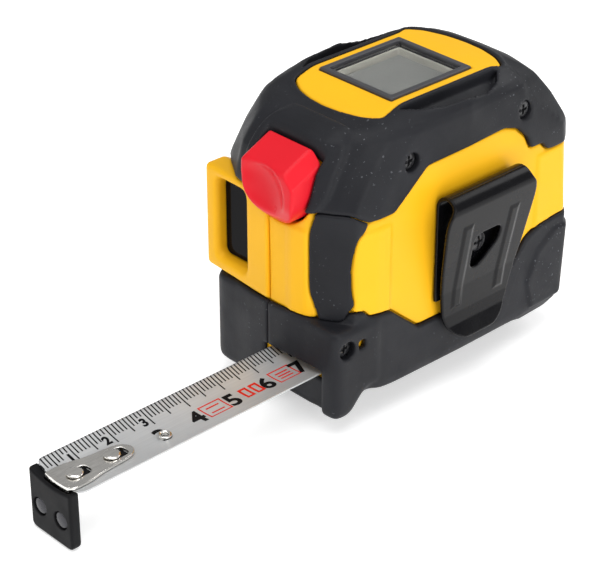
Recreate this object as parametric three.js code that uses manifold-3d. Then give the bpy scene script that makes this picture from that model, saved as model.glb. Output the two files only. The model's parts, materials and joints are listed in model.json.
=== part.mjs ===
// A 5 m pocket tape measure with a built-in laser rangefinder, in millimetres.
//
// Frame: +X is the direction in which the blade is pulled out, +Y is the belt-clip side
// ("near"), +Z is up. The origin is the middle of the rear foot's flat face, on which the case
// stands. Dimensions are taken from the middle of the underside, which lies at ORIGIN from
// there. The two case halves meet on the plane y = SEAM: the reel is in the near half, the
// laser in the far half.

import * as THREE from 'three';
import { mergeVertices } from 'three/addons/utils/BufferGeometryUtils.js';
import Module from 'manifold-3d';

const wasm = await Module();
wasm.setup();

// ---------------------------------------------------------------- driving dimensions

const GAP = 0.3;                 // between parts that touch
const SEAM = -3;                 // y of the plane between the case halves
const RUBBER = 1.5;              // thickness of the soft skin over the shells
const PANEL_DROP = 0.8;          // bare yellow panels sit this far below the rubber
const WALL = 3.8;                // rubber, gap and shell wall together
const FAR = 60;                  // longer than any part of the case
const ORIGIN = { x: 34, y: 8 };  // from the rear foot's face to the middle of the underside

const BLADE = { near: 13, far: -3, edgeZ: 10.5, camber: 1.4, thick: 0.3, tail: 30.5, tip: 102.5 };
const REEL = { x: -6.1, z: 31, coil: 18.6, core: 10.4, flange: 20.2, near: 14.4, far: -4.45 };
const MOUTH = { y0: -4.3, y1: 13.8, z0: 7.8, z1: 11.4, recessX: 34.8 };
const HOOK = { face: 104.5, back: 101.9, y0: -3, y1: 10.9, z0: -4.9, strapY: 6 };
const RIVETS = [99.2, 89.4];     // x of the two rivets that hold the hook to the blade
const EYELET = { x: 76.2, y: 7.4 };
const PLATE = { top: 67.6, half: 13.7, foldFront: 10.8, foldRear: -18 };
const SCREEN = { x0: -14.75, x1: 10.95, y0: -14.55, y1: 8.6 };
const WINDOW = { y0: -21.2, y1: -10.8, z0: 26.3, z1: 46.4 };
const HOUSING = { y0: -25.2, y1: -9, z0: 22.8, z1: 49 };
const LOCK = { y0: -7.8, y1: 8.6, front: 40.4 };
const CLIP = { x: -6.1, sheet: 0.9, foldY: 21.8, foldZ: 43.6, foldRadius: 3.3, inner: 18.5 };
const CELL = { radius: 5.1, length: 43.5, x: -11.2, y: -13.2, z: [13.4, 24.4] };

// ---------------------------------------------------------------- materials

const paint = (color, roughness, metalness = 0, more = {}) =>
  new THREE.MeshStandardMaterial({ color, roughness, metalness, ...more });
const YELLOW = paint(0xf2b91f, 0.5);
const RUBBER_BLACK = paint(0x2e2f31, 0.75);
const RED = paint(0xe5222f, 0.38);
const STEEL = paint(0xb9bbbd, 0.32, 0.9);
const NICKEL = paint(0xd6d3cc, 0.22, 1);
const BLACK_STEEL = paint(0x111214, 0.3, 0.6);
const BLACK_PLASTIC = paint(0x1b1c1e, 0.5);
const GREY_PLASTIC = paint(0x55565a, 0.5);
const PALE_PLASTIC = paint(0xb9b6ae, 0.5);
const LCD_GREY = paint(0x8c8c88, 0.3);
const GLASS = paint(0xdfe4e6, 0.05, 0, { transparent: true, opacity: 0.3 });
const LENS_BLACK = paint(0x060607, 0.08);
const BOARD_GREEN = paint(0x1f5a34, 0.5);
const BRASS = paint(0xb08a3e, 0.35, 0.9);
const SPRING_STEEL = paint(0x5c6066, 0.35, 0.9);

// ---------------------------------------------------------------- solids

/** A closed mesh as a solid that can be cut and joined. */
function solid(geometry) {
  const bare = geometry.clone();
  for (const name of ['normal', 'uv']) bare.deleteAttribute(name);
  const merged = mergeVertices(bare, 1e-4);
  return new wasm.Manifold(new wasm.Mesh({
    numProp: 3,
    vertProperties: new Float32Array(merged.attributes.position.array),
    triVerts: new Uint32Array(merged.index.array),
  }));
}

/** A solid back as three.js geometry. */
function geometryOf(body) {
  const mesh = body.getMesh();
  const geometry = new THREE.BufferGeometry();
  geometry.setAttribute('position', new THREE.BufferAttribute(mesh.vertProperties, 3));
  geometry.setIndex(new THREE.BufferAttribute(mesh.triVerts, 1));
  geometry.computeVertexNormals();
  return geometry;
}

const union = (...bodies) => bodies.flat().reduce((a, b) => a.add(b));
const cut = (body, ...tools) => tools.flat().reduce((a, b) => a.subtract(b), body);

function box(x0, x1, y0, y1, z0, z1) {
  const geometry = new THREE.BoxGeometry(x1 - x0, y1 - y0, z1 - z0);
  geometry.translate((x0 + x1) / 2, (y0 + y1) / 2, (z0 + z1) / 2);
  return solid(geometry);
}

const AXES = {
  x: new THREE.Matrix4().makeBasis(
    new THREE.Vector3(0, 1, 0), new THREE.Vector3(0, 0, 1), new THREE.Vector3(1, 0, 0)),
  y: new THREE.Matrix4().makeBasis(
    new THREE.Vector3(0, 0, 1), new THREE.Vector3(1, 0, 0), new THREE.Vector3(0, 1, 0)),
  z: new THREE.Matrix4(),
};

/**
 * A flat outline extruded along an axis from one place to another. The outline's points are
 * [y, z] for x, [x, z] for y and [x, y] for z.
 */
function prism(axis, outline, from, to, segments = 12) {
  const points = axis === 'y' ? swapped(outline) : outline;
  const shape = points.isShape ? points : new THREE.Shape(points.map(([a, b]) => new THREE.Vector2(a, b)));
  const geometry = new THREE.ExtrudeGeometry(shape, {
    depth: to - from, bevelEnabled: false, curveSegments: segments, steps: 1,
  });
  geometry.translate(0, 0, from);
  geometry.applyMatrix4(AXES[axis]);
  return solid(geometry);
}

const swapped = (outline) => outline.map(([a, b]) => [b, a]).reverse();

/** A cylinder along an axis, between two places on it; at is the pair of other coordinates. */
function rod(axis, radius, from, to, at = [0, 0], segments = 24) {
  const circle = [];
  for (let i = 0; i < segments; i++) {
    const t = (2 * Math.PI * (i + 0.5)) / segments;
    circle.push([at[0] + radius * Math.cos(t), at[1] + radius * Math.sin(t)]);
  }
  return prism(axis, circle, from, to);
}

/** A turned part about the local z axis from [radius, z] points that start and end on it. */
function turned(profile, segments = 24) {
  const geometry = new THREE.LatheGeometry(profile.map(([r, z]) => new THREE.Vector2(r, z)), segments);
  geometry.rotateX(Math.PI / 2);
  const body = solid(geometry);
  return body;
}

/** A rectangle with rounded corners, as an outline. */
function roundedBox(x0, y0, x1, y1, r, steps = 4) {
  const outline = [];
  for (const [cx, cy, start] of [
    [x1 - r, y1 - r, 0], [x0 + r, y1 - r, 1], [x0 + r, y0 + r, 2], [x1 - r, y0 + r, 3],
  ]) {
    for (let i = 0; i <= steps; i++) {
      const t = (start + i / steps) * Math.PI / 2;
      outline.push([cx + r * Math.cos(t), cy + r * Math.sin(t)]);
    }
  }
  return outline;
}

/** An outline moved inwards by d (outwards if d is negative), with mitred corners. */
function inset(outline, d) {
  const n = outline.length;
  let area = 0;
  outline.forEach(([x, y], i) => {
    const [u, v] = outline[(i + 1) % n];
    area += x * v - u * y;
  });
  const side = Math.sign(area);
  const normal = ([x, y], [u, v]) => {
    const length = Math.hypot(u - x, v - y);
    return [-(v - y) / length * side, (u - x) / length * side];
  };
  return outline.map((p, i) => {
    const a = normal(outline[(i + n - 1) % n], p);
    const b = normal(p, outline[(i + 1) % n]);
    const scale = d / (1 + a[0] * b[0] + a[1] * b[1]);
    return [p[0] + (a[0] + b[0]) * scale, p[1] + (a[1] + b[1]) * scale];
  });
}

/** A closed skin through level rings of equal length, each a list of [x, y, z]. */
function loft(rings) {
  const n = rings[0].length;
  const positions = rings.flat().flat();
  const index = [];
  rings.slice(1).forEach((_, k) => {
    for (let i = 0; i < n; i++) {
      const [a, b] = [k * n + i, k * n + (i + 1) % n];
      index.push(a, b, b + n, a, b + n, a + n);
    }
  });
  const last = (rings.length - 1) * n;
  for (let i = 1; i < n - 1; i++) index.push(0, i + 1, i, last, last + i, last + i + 1);
  const geometry = new THREE.BufferGeometry();
  geometry.setAttribute('position', new THREE.Float32BufferAttribute(positions, 3));
  geometry.setIndex(index);
  return solid(geometry);
}

// ---------------------------------------------------------------- outer form of the case

// Levels of the case: height, foremost and rearmost x on the seam, half width, x of the edge
// where the slanted front corner meets the side, how far the rear corners are rounded off, and
// how much the outline narrows from the middle towards both ends.
const LEVELS = [
  { z: 0, front: 37.2, rear: -39.6, half: 19.6, corner: 29, round: 1.6, bow: 0 },
  { z: 3.6, front: 37.5, rear: -41.8, half: 21.9, corner: 29.5, round: 1.3, bow: 0 },
  { z: 26, front: 37.6, rear: -42.6, half: 22, corner: 30, round: 1.2, bow: 0 },
  { z: 50, front: 37.8, rear: -41.4, half: 22, corner: 29.6, round: 1.6, bow: 0 },
  { z: 57.5, front: 35.6, rear: -38.4, half: 21.9, corner: 24.6, round: 3.6, bow: 0.2 },
  { z: 63.7, front: 30.2, rear: -32.8, half: 21.8, corner: 19.2, round: 2.8, bow: 0.7 },
  { z: 66.2, front: 25.5, rear: -28.8, half: 21, corner: 14.5, round: 2, bow: 2.1 },
];

/** The outline of the case at one level, moved inwards by d. */
function levelRing({ z, front, rear, half, corner, round, bow }, d) {
  const f = front - d;
  const r = rear + d;
  const h = half - d;
  const c = corner - d * 0.45;
  const side = [
    [f, 0], [f - 0.3, 6], [f - 1.4, 11], [(f - 1.4) * 0.42 + c * 0.58, 11 + (h - 11) * 0.55],
    [c, h - 1.4 - bow], [c - 6, h - 0.35 - bow * 0.5], [-4, h], [-23 + d, h - 0.2 - bow * 2.4],
    [Math.min(r + round * 3, -23.8 + d), h - 0.8 - bow * 3], [r + round, h - 3 - bow * 3],
    [r + 0.4, 8], [r, 0],
  ];
  const other = side.slice(1, -1).reverse().map(([x, u]) => [x, -u]);
  return [...side, ...other].map(([x, u]) => [x, SEAM + u, z]);
}

/** The side view of the case: the curved top and the front and rear slopes on the seam. */
function sideView(d) {
  return inset([
    [-42.6, 0], [37.8, 0], [37.8, 50], [35.6, 57.5], [32.4, 61.4], [28.8, 64],
    [24, 65.2], [20, 65.5], [PLATE.foldFront, PLATE.top], [PLATE.foldRear, PLATE.top],
    [-25.4, 67], [-29.6, 65.9], [-33.2, 64], [-36.8, 61], [-39.2, 57], [-41.4, 50], [-42.6, 26],
  ], d);
}

/** The lens-shaped yellow plate round the screen, in plan. */
const plateOutline = (d) => inset([
  [20.2, SEAM], [19.9, SEAM + 5], [18.9, SEAM + 10], [16.7, SEAM + 14.6],
  [PLATE.foldFront, SEAM + PLATE.half], [PLATE.foldRear, SEAM + PLATE.half],
  [-20.6, SEAM + 15], [-23.2, SEAM + 11], [-24.8, SEAM + 5.6], [-25.2, SEAM],
  [-24.6, SEAM - 5.6], [-22.8, SEAM - 11], [-19.6, SEAM - 14.6],
  [PLATE.foldRear + 1, SEAM - PLATE.half], [PLATE.foldFront, SEAM - PLATE.half],
  [16.3, SEAM - 13.2], [18.6, SEAM - 9.4], [19.8, SEAM - 5],
], d);

/** The squarer front of the bumper, which carries the two front legs. */
function legBlock(d) {
  const [front, side, top] = [37.2 - d, 21.8 - d, 22.4 - d];
  const chamfer = Math.max(0.3, 1.4 - 0.5 * d);
  const plan = [
    [22, SEAM - side], [30, SEAM - side], [front, SEAM - 16.2 + d], [front, SEAM + side - chamfer],
    [front - chamfer, SEAM + side], [22, SEAM + side],
  ];
  const profile = [
    [20, 5.4 + d], [27, 5 + d], [31.6, d], [front - chamfer, d], [front, d + chamfer],
    [front, top - chamfer], [front - chamfer, top], [20, top],
  ];
  return prism('z', plan, d, top).intersect(prism('y', profile, -FAR, FAR));
}

/** The hollows beside the plate on each side of the top, grown by d. */
const scoops = (d) => [1, -1].map((s) => prism('z', inset([
  [14, SEAM + s * 15.4], [8, SEAM + s * 17.6], [2, SEAM + s * 18.8], [-4, SEAM + s * 19.2],
  [-10, SEAM + s * 18.8], [-15, SEAM + s * 17.6], [-20.5, SEAM + s * 15.4],
  [-19.5, SEAM + s * 14.9], [13, SEAM + s * 14.9],
], -d), 64.8 - d, 72).intersect(box(-20.8 - d, 14.2 + d, -FAR, FAR, 0, 90)));

/** The whole outer form moved inwards by d, without the laser housing. */
function form(d, withPlate = true) {
  const levels = LEVELS.map((level) => ({ ...level }));
  levels[0].z += d;
  levels.at(-1).z -= d;
  let body = union(loft(levels.map((level) => levelRing(level, d))), legBlock(d));
  if (withPlate) body = body.add(prism('z', plateOutline(d - 1.1), 60, PLATE.top));
  return cut(body.intersect(prism('y', sideView(d), SEAM - FAR, SEAM + FAR)), scoops(d));
}

/** The laser housing on the far side of the front, moved inwards by d. */
function laserBox(d) {
  const { y0, y1, z0, z1 } = HOUSING;
  const plan = inset([
    [37.4, y1 + FAR / 10], [36.9, y1], [36.4, y1 - 6], [35.7, y0 + 1], [34.7, y0], [16, y0], [12, y0 + 3],
    [12, y1 + FAR / 10],
  ], d);
  const section = inset(roundedBox(y0, z0, y1 + FAR / 10, z1, 1.2, 1), d);
  return prism('z', plan, z0, z1).intersect(prism('x', section, 0, FAR));
}

// ---------------------------------------------------------------- regions of the skins

// Side views of the two rubber regions: the cap and the bumper that wraps the base.
const CAP_EDGE = [
  [-60, 44.4], [-33.2, 44.7], [-31.1, 45], [-29.1, 47.3], [-25, 47.4], [-23.4, 50.8], [-20, 54],
  [-15.6, 55.4],
  [9.1, 54.6], [19.1, 46.6], [26.4, 46.6], [30.4, 49], [60, 49],
];
const BUMPER_EDGE = [
  [-60, 25.5], [-36, 26], [-29.6, 25.5], [-25.1, 24], [-19.7, 18.3], [-12, 14.5], [10.7, 14.7],
  [19.5, 22.2], [26.1, 23.1], [27.1, 24.8], [30.2, 25], [31.5, 22.6], [60, 22.6],
];

const capRegion = (d) => prism('y', inset([...CAP_EDGE, [60, 90], [-60, 90]], d), -FAR, FAR);
const bumperRegion = (d) => prism('y', inset([...BUMPER_EDGE, [60, -20], [-60, -20]], d), -FAR, FAR);

/** The rubber strip down the near front corner, between the cap and the bumper. */
function stripRegion(d) {
  const plan = inset([[60, 8.6], [34, 8.6], [24, 15], [29.6, 30], [60, 30]], d);
  const face = inset([
    [8, 20], [10.6, 22.6], [8.5, 30], [7.8, 36], [8.4, 43], [10, 49.4], [10, 52], [40, 52], [40, 20],
  ], d);
  const flank = inset([
    [60, 20], [30.6, 24], [31.6, 26], [29.6, 32], [29.6, 43], [27.6, 44], [27, 46.9], [30.4, 49.3],
    [30.4, 52], [60, 52],
  ], d);
  const [low, high] = [22.6 + GAP, 49 - GAP];
  const side = inset([
    [60, low], [31.5, low], [30.2, 25 + GAP], [29.2, 25.6 + GAP], [30.8, 30], [31, 36],
    [29.6, 43.2], [27.5, 43.4], [26.6, 46.4 - GAP], [30.4, high], [60, high],
  ], d);
  return prism('z', plan, 0, 60).intersect(prism('x', face, 0, FAR))
    .intersect(prism('y', side, -FAR, FAR));
}

// ---------------------------------------------------------------- openings

const mouthRecess = () => box(MOUTH.recessX, FAR, MOUTH.y0, MOUTH.y1, -5, MOUTH.z1);
const mouthSlot = () => box(28, FAR, MOUTH.y0, MOUTH.y1, MOUTH.z0, MOUTH.z1);

/** Room for the lock button to slide in, through cap and shell. */
const lockPocket = (d) => prism('x',
  inset(roundedBox(LOCK.y0 - 1.2, 43.6, LOCK.y1 + 1.2, 65.4, 5, 3), d), 31.2, FAR);

/** The underside: front legs and a rear foot stay down, the middle is raised. */
const archUnder = () => prism('y', [
  [32, -5], [32, -0.02], [27, 4.6], [22, 2.6], [18, 2], [-23, 2], [-27, -0.02], [-27, -5],
], -FAR, FAR);

const SCREWS = [
  { name: 'case_screw_top_front', x: 14, z: 57 },
  { name: 'case_screw_top_rear', x: -22.8, z: 57.4 },
  { name: 'case_screw_bottom_front', x: 33, z: 17.5 },
];
const SCREW = { radius: 2.1, top: 17.4, head: 1.8, shank: 1.1, length: 24 };
const BOSS = 3.2;

/** Room inside the shells for the lock button's foot. */
const footRoom = () => box(30.9, 32.4, LOCK.y0 - 2.3, LOCK.y1 + 2.3, 43.9, 55);

const screwHoles = () => SCREWS.flatMap(({ x, z }) => [
  rod('y', 2.5, SCREW.top - SCREW.head - GAP, FAR, [x, z], 16),
  rod('y', SCREW.shank + 0.2, SCREW.top - SCREW.length - GAP, FAR, [x, z], 12),
]);

// ---------------------------------------------------------------- scene graph

const tape = new THREE.Group();
const groups = {};
for (const [name, x, y, z] of [
  ['case', 0, 0, 0], ['display', 0, 0, 0], ['laser', 0, 0, 0], ['power', 0, 0, 0],
  ['reel', REEL.x, 0, REEL.z], ['blade', 0, 0, 0], ['hook', 0, 0, 0], ['lock', 0, 0, 0],
  ['clip', CLIP.x, 0, 0], ['keys', 0, 0, 0],
]) {
  groups[name] = new THREE.Group();
  groups[name].position.set(x + ORIGIN.x, y + ORIGIN.y, z);
  tape.add(groups[name]);
}

/** Adds one named part to its group, at a place and a turn. */
function part(group, name, body, material, position = [0, 0, 0], rotation = [0, 0, 0]) {
  const mesh = new THREE.Mesh(geometryOf(body), material);
  mesh.name = name;
  mesh.position.set(...position);
  mesh.rotation.set(...rotation);
  groups[group].add(mesh);
}

const ALONG_Y = [-Math.PI / 2, 0, 0];   // turns a part's own z axis to point along +y
const ALONG_X = [0, Math.PI / 2, 0];    // turns a part's own z axis to point along +x

// ---------------------------------------------------------------- case

const nearHalf = () => box(-FAR, FAR, SEAM + GAP / 2, FAR, -FAR, 2 * FAR);
const farHalf = () => box(-FAR, FAR, -FAR, SEAM - GAP / 2, -FAR, 2 * FAR);

const DOOR = { x0: -35, x1: 13.4, z0: 7.4, z1: 30.4 };
const doorBox = (d) => box(DOOR.x0 + d, DOOR.x1 - d, -FAR, -16, DOOR.z0 + d, DOOR.z1 - d);

const KEYS = [
  { name: 'measure_key', x: -2, z: 44.5, r: 5, material: RED },
  { name: 'mode_key', x: -14.5, z: 44.5, r: 3.4, material: GREY_PLASTIC },
];

/** A pan-head screw with a cross slot, its head's top at z = 0 and its shank below. */
function screwBody(radius, head, shank, length) {
  const body = turned([
    [0, -length], [shank * 0.5, -length], [shank, -length + 1], [shank, -head],
    [radius, -head], [radius, -0.5], [radius * 0.75, 0], [0, 0],
  ], 14);
  const arm = radius * 0.6;
  return cut(body, box(-arm, arm, -0.28, 0.28, -0.8, 1), box(-0.28, 0.28, -arm, arm, -0.8, 1));
}

function buildCase() {
  const outer = cut(form(0), archUnder());
  const plateHole = prism('z', inset(plateOutline(0), -GAP), 58, 90);
  const doorway = doorBox(0).intersect(box(-FAR, FAR, -FAR, -18.6, -FAR, FAR));

  const substrate = form(RUBBER + GAP, false);
  const panels = cut(form(PANEL_DROP), capRegion(-GAP), bumperRegion(-GAP), stripRegion(-GAP));
  const cavity = form(WALL, false);
  const boardRoom = box(-24, 14, -18.6, 12.6, 60.2, 66);
  const holes = [
    plateHole, boardRoom, mouthRecess(), mouthSlot(), lockPocket(0), footRoom(), archUnder(),
    ...screwHoles(),
  ];
  const bosses = SCREWS.map(({ x, z }) =>
    rod('y', BOSS, SEAM - 20, SEAM + 20, [x, z], 12).intersect(substrate));
  const clipScrewHole = rod('y', 1.7, 10, FAR, [REEL.x, REEL.z], 12);
  const shell = union(cut(union(substrate, panels), cavity), bosses);
  part('case', 'near_shell', cut(shell, holes, clipScrewHole).intersect(nearHalf()), YELLOW);

  const housing = cut(laserBox(0), capRegion(-GAP), bumperRegion(-GAP), cavity);
  const housingRoom = union(
    prism('x', roundedBox(WINDOW.y0, WINDOW.z0, WINDOW.y1, WINDOW.z1, 2), 20, FAR),
    box(12, 31.8, -22.4, -7, 24.9, 47),
  );
  const keyHoles = KEYS.map(({ x, z, r }) => rod('y', r + GAP, -FAR, -18, [x, z], 20));
  const far = cut(union(shell, housing), holes, housingRoom, doorway, keyHoles);
  part('case', 'far_shell', far.intersect(farHalf()), YELLOW);

  const skin = cut(outer, form(RUBBER));
  const capHoles = [plateHole, lockPocket(-0.2), ...screwHoles(), laserBox(-GAP)];
  part('case', 'cap_grip', cut(skin.intersect(capRegion(0)), capHoles), RUBBER_BLACK);
  const bumper = cut(skin.intersect(bumperRegion(0)),
    mouthRecess(), mouthSlot(), screwHoles(), laserBox(-GAP), doorway);
  part('case', 'near_bumper', bumper.intersect(nearHalf()), RUBBER_BLACK);
  part('case', 'far_bumper', bumper.intersect(farHalf()), RUBBER_BLACK);
  part('case', 'corner_grip', cut(skin.intersect(stripRegion(0)), lockPocket(-0.2)), RUBBER_BLACK);

  const door = cut(form(0.2), form(2.4)).intersect(doorBox(GAP))
    .intersect(box(-FAR, FAR, -FAR, -18.6, -FAR, FAR));
  part('case', 'battery_door', cut(door, archUnder()), BLACK_PLASTIC);

  const divider = prism('y', [
    [-35.6, 8], [30, 8], [32.4, 13], [32.4, 23], [28, 50], [22, 53], [-28, 53], [-35.6, 44],
  ], -6.2, -5.2);
  part('case', 'chamber_divider', cut(divider,
    rod('y', 3.4, -20, 20, [REEL.x, REEL.z], 16),
    SCREWS.map(({ x, z }) => rod('y', BOSS + GAP, -20, 20, [x, z], 12))), BLACK_PLASTIC);

  const { radius, head, shank, length } = SCREW;
  for (const { name, x, z } of SCREWS) {
    part('case', name, screwBody(radius, head, shank, length), BLACK_STEEL, [x, SCREW.top, z], ALONG_Y);
  }
}

// ---------------------------------------------------------------- display

function buildDisplay() {
  const { x0, x1, y0, y1 } = SCREEN;
  const frame = (d, z0, z1) => box(x0 + d, x1 - d, y0 + d, y1 - d, z0, z1);
  const plate = prism('z', plateOutline(0), 58, 90)
    .intersect(cut(prism('y', sideView(0.1), -FAR, FAR), prism('y', sideView(1.8), -FAR, FAR)));
  part('display', 'display_plate', cut(plate, frame(-0.15, 50, 90)), YELLOW);
  const bezel = cut(frame(0.15, 64.4, PLATE.top + 0.2), frame(1.7, 60, 90));
  part('display', 'display_bezel', bezel, GREY_PLASTIC);
  part('display', 'display_window', frame(2, 66.4, 67), GLASS);
  part('display', 'display_carrier', cut(frame(2, 63.8, 66.1), frame(3.4, 60, 90)), PALE_PLASTIC);
  part('display', 'display_panel', frame(2, 62.6, 63.5), LCD_GREY);
  part('display', 'main_board', box(-22, 12, -17, 11, 60.6, 61.8), BOARD_GREEN);
}

// ---------------------------------------------------------------- laser rangefinder

function buildLaser() {
  const y = (WINDOW.y0 + WINDOW.y1) / 2;
  const [emitter, receiver] = [{ z: 42, r: 2.7 }, { z: 32.6, r: 4.6 }];
  const block = cut(box(14, 31.3, -22, -10, 25.3, 46.6),
    rod('x', emitter.r, 18, FAR, [y, emitter.z], 18),
    rod('x', receiver.r, 16, FAR, [y, receiver.z], 24));
  part('laser', 'laser_block', block, BLACK_PLASTIC);
  const barrel = turned([
    [0, 0], [2.3, 0], [2.3, 9], [1.8, 9.6], [1.8, 12.4], [0.9, 12.4], [0.9, 11.6], [0, 11.6],
  ], 18);
  part('laser', 'laser_emitter', barrel, BRASS, [18.4, y, emitter.z], ALONG_X);
  const lens = turned([[0, 0], [4.2, 0], [4.2, 1.4], [3.2, 2], [1.8, 2.5], [0, 2.7]], 24);
  part('laser', 'receiver_lens', lens, GLASS, [27.6, y, receiver.z], ALONG_X);
  const sensor = box(16.4, 17.8, y - 2.2, y + 2.2, receiver.z - 2.2, receiver.z + 2.2);
  part('laser', 'receiver_sensor', sensor, BOARD_GREEN);
  const pane = roundedBox(WINDOW.y0 + GAP, WINDOW.z0 + GAP, WINDOW.y1 - GAP, WINDOW.z1 - GAP, 1.8);
  part('laser', 'laser_window', prism('x', pane, 32.2, 33.4), LENS_BLACK);
}

// ---------------------------------------------------------------- batteries and keys

function buildPower() {
  CELL.z.forEach((z, i) => {
    const flip = i % 2 ? -1 : 1;
    const cell = turned([
      [0, -CELL.length / 2], [CELL.radius - 0.6, -CELL.length / 2], [CELL.radius, -CELL.length / 2 + 0.6],
      [CELL.radius, CELL.length / 2 - 1.4], [CELL.radius - 0.8, CELL.length / 2 - 0.8],
      [1.9, CELL.length / 2 - 0.8], [1.9, CELL.length / 2], [0, CELL.length / 2],
    ], 20);
    part('power', `battery_${i + 1}`, cell, STEEL, [CELL.x, CELL.y, z], [0, flip * Math.PI / 2, 0]);
  });
  const [front, rear] = [CELL.x + CELL.length / 2 + GAP, CELL.x - CELL.length / 2 - GAP];
  const [low, high] = [CELL.z[0] - 4.6, CELL.z[1] + 4.6];
  part('power', 'contact_front', box(front, front + 0.5, CELL.y - 4, CELL.y + 4, low, high), NICKEL);
  const coils = CELL.z.map((z) => {
    const coil = new THREE.CylinderGeometry(3.4, 2.2, 1.6, 14);
    coil.rotateZ(Math.PI / 2);
    coil.translate(rear - 0.8, CELL.y, z);
    return solid(coil);
  });
  const strip = box(rear - 2, rear - 1.5, CELL.y - 4, CELL.y + 4, low, high);
  part('power', 'contact_rear', union(strip, coils), NICKEL);
}

function buildKeys() {
  for (const { name, x, z, r, material } of KEYS) {
    const key = turned([
      [0, -1.4], [1.5, -1.4], [1.5, 0], [r + 1, 0], [r + 1, 0.7], [r, 0.7], [r, 4.2], [r - 0.6, 4.8],
      [0, 4.8],
    ], 24);
    part('keys', name, key, material, [x, -20.1, z], [Math.PI / 2, 0, 0]);
  }
  const board = union(
    box(-19, 5, -16.8, -15.8, 38.6, 50.4),
    KEYS.map(({ x, z }) => box(x - 2.2, x + 2.2, -17.7, -16.7, z - 2.2, z + 2.2)),
  );
  part('case', 'key_board', board, BOARD_GREEN);
}

// ---------------------------------------------------------------- reel

/** A flat spiral band between two radii. */
function spiral(inner, outer, turns, thick, y0, y1, perTurn = 14) {
  const edge = (offset) => {
    const points = [];
    for (let i = 0; i <= turns * perTurn; i++) {
      const t = i / (turns * perTurn);
      const r = inner + (outer - inner) * t + offset;
      points.push([r * Math.cos(2 * Math.PI * turns * t), r * Math.sin(2 * Math.PI * turns * t)]);
    }
    return points;
  };
  return prism('y', [...edge(0), ...edge(thick).reverse()], y0, y1);
}

function buildReel() {
  const { core, coil, flange, near, far } = REEL;
  const drum = cut(
    union(
      rod('y', core - 0.35, far + 1.3, near, [0, 0], 28),
      rod('y', flange, near - 1, near, [0, 0], 36),
    ),
    rod('y', core - 1.6, -20, near - 1, [0, 0], 28), rod('y', 3.6, -20, 20, [0, 0], 18),
  );
  part('reel', 'reel_drum', drum, BLACK_PLASTIC);
  const lid = cut(rod('y', flange, far, far + 1, [0, 0], 36), rod('y', 3.6, -20, 20, [0, 0], 18));
  part('reel', 'reel_lid', lid, BLACK_PLASTIC);
  part('reel', 'power_spring', spiral(4.3, core - 2.5, 5, 0.3, far + 1.6, near - 1.5), SPRING_STEEL);
  const wound = rod('y', coil, BLADE.far, BLADE.near, [0, 0], 40);
  part('reel', 'blade_coil', cut(wound, rod('y', core, -20, 20, [0, 0], 28)), STEEL);
  const axle = cut(rod('y', 3, -7, near + 0.5, [0, 0], 18), rod('y', 1.3, 4, 20, [0, 0], 12));
  part('reel', 'reel_axle', axle, STEEL);
}

// ---------------------------------------------------------------- blade and hook

/** z of the blade's hollow upper face at y, and of surfaces that lie up or down from it. */
function bladeZ(y, up = 0) {
  const half = (BLADE.near - BLADE.far) / 2;
  const radius = (half * half + BLADE.camber * BLADE.camber) / (2 * BLADE.camber);
  const mid = (BLADE.near + BLADE.far) / 2;
  const r = radius - up;
  return BLADE.edgeZ - BLADE.camber + radius - Math.sqrt(r * r - (y - mid) ** 2);
}

/** The outline, across the blade, of a band that lies between two heights above its face. */
function band(y0, y1, low, high, steps = 10) {
  const at = (i) => y0 + (y1 - y0) * i / steps;
  const indices = Array.from({ length: steps + 1 }, (_, i) => i);
  return [
    ...indices.map((i) => [at(i), bladeZ(at(i), low)]),
    ...indices.reverse().map((i) => [at(i), bladeZ(at(i), high)]),
  ];
}

function buildBlade() {
  const { near, far, tip, tail, thick } = BLADE;
  const strip = prism('x', band(far, near, -thick, 0), tail, tip);
  const plan = prism('z', [
    [tail, far], [tip - 1.6, far], [tip, far + 1.6], [tip, near - 1.6], [tip - 1.6, near], [tail, near],
  ], 0, 20);
  const holes = [
    ...RIVETS.map((x) => rod('z', 1.35, 0, 20, [x, HOOK.strapY], 12)),
    rod('z', 1.6, 0, 20, [EYELET.x, EYELET.y], 12),
  ];
  part('blade', 'blade', cut(strip.intersect(plan), holes), STEEL);

  RIVETS.forEach((x, i) => {
    const rivet = turned([
      [0, 8.05], [1.6, 8.05], [1.9, 8.3], [1.9, 8.7], [1.1, 8.7], [1.1, 10.2], [1.9, 10.2], [1.9, 10.5],
      [1.6, 10.7], [0, 10.7],
    ], 18);
    part('blade', `hook_rivet_${i + 1}`, rivet, NICKEL, [x, HOOK.strapY, 0]);
  });
  const ring = turned([
    [0.9, 8.2], [2, 8.2], [2, 8.6], [1.35, 8.6], [1.35, 9.7], [2, 9.7], [2, 10], [1.6, 10.2],
    [1.1, 10.2], [0.9, 9.9], [0.9, 8.2],
  ], 18);
  part('blade', 'blade_eyelet', ring, NICKEL, [EYELET.x, EYELET.y, 0]);

  const lead = box(REEL.x, 15, BLADE.far, BLADE.near, 10.95, 11.2);
  part('case', 'blade_lead', lead, STEEL);
}

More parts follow.
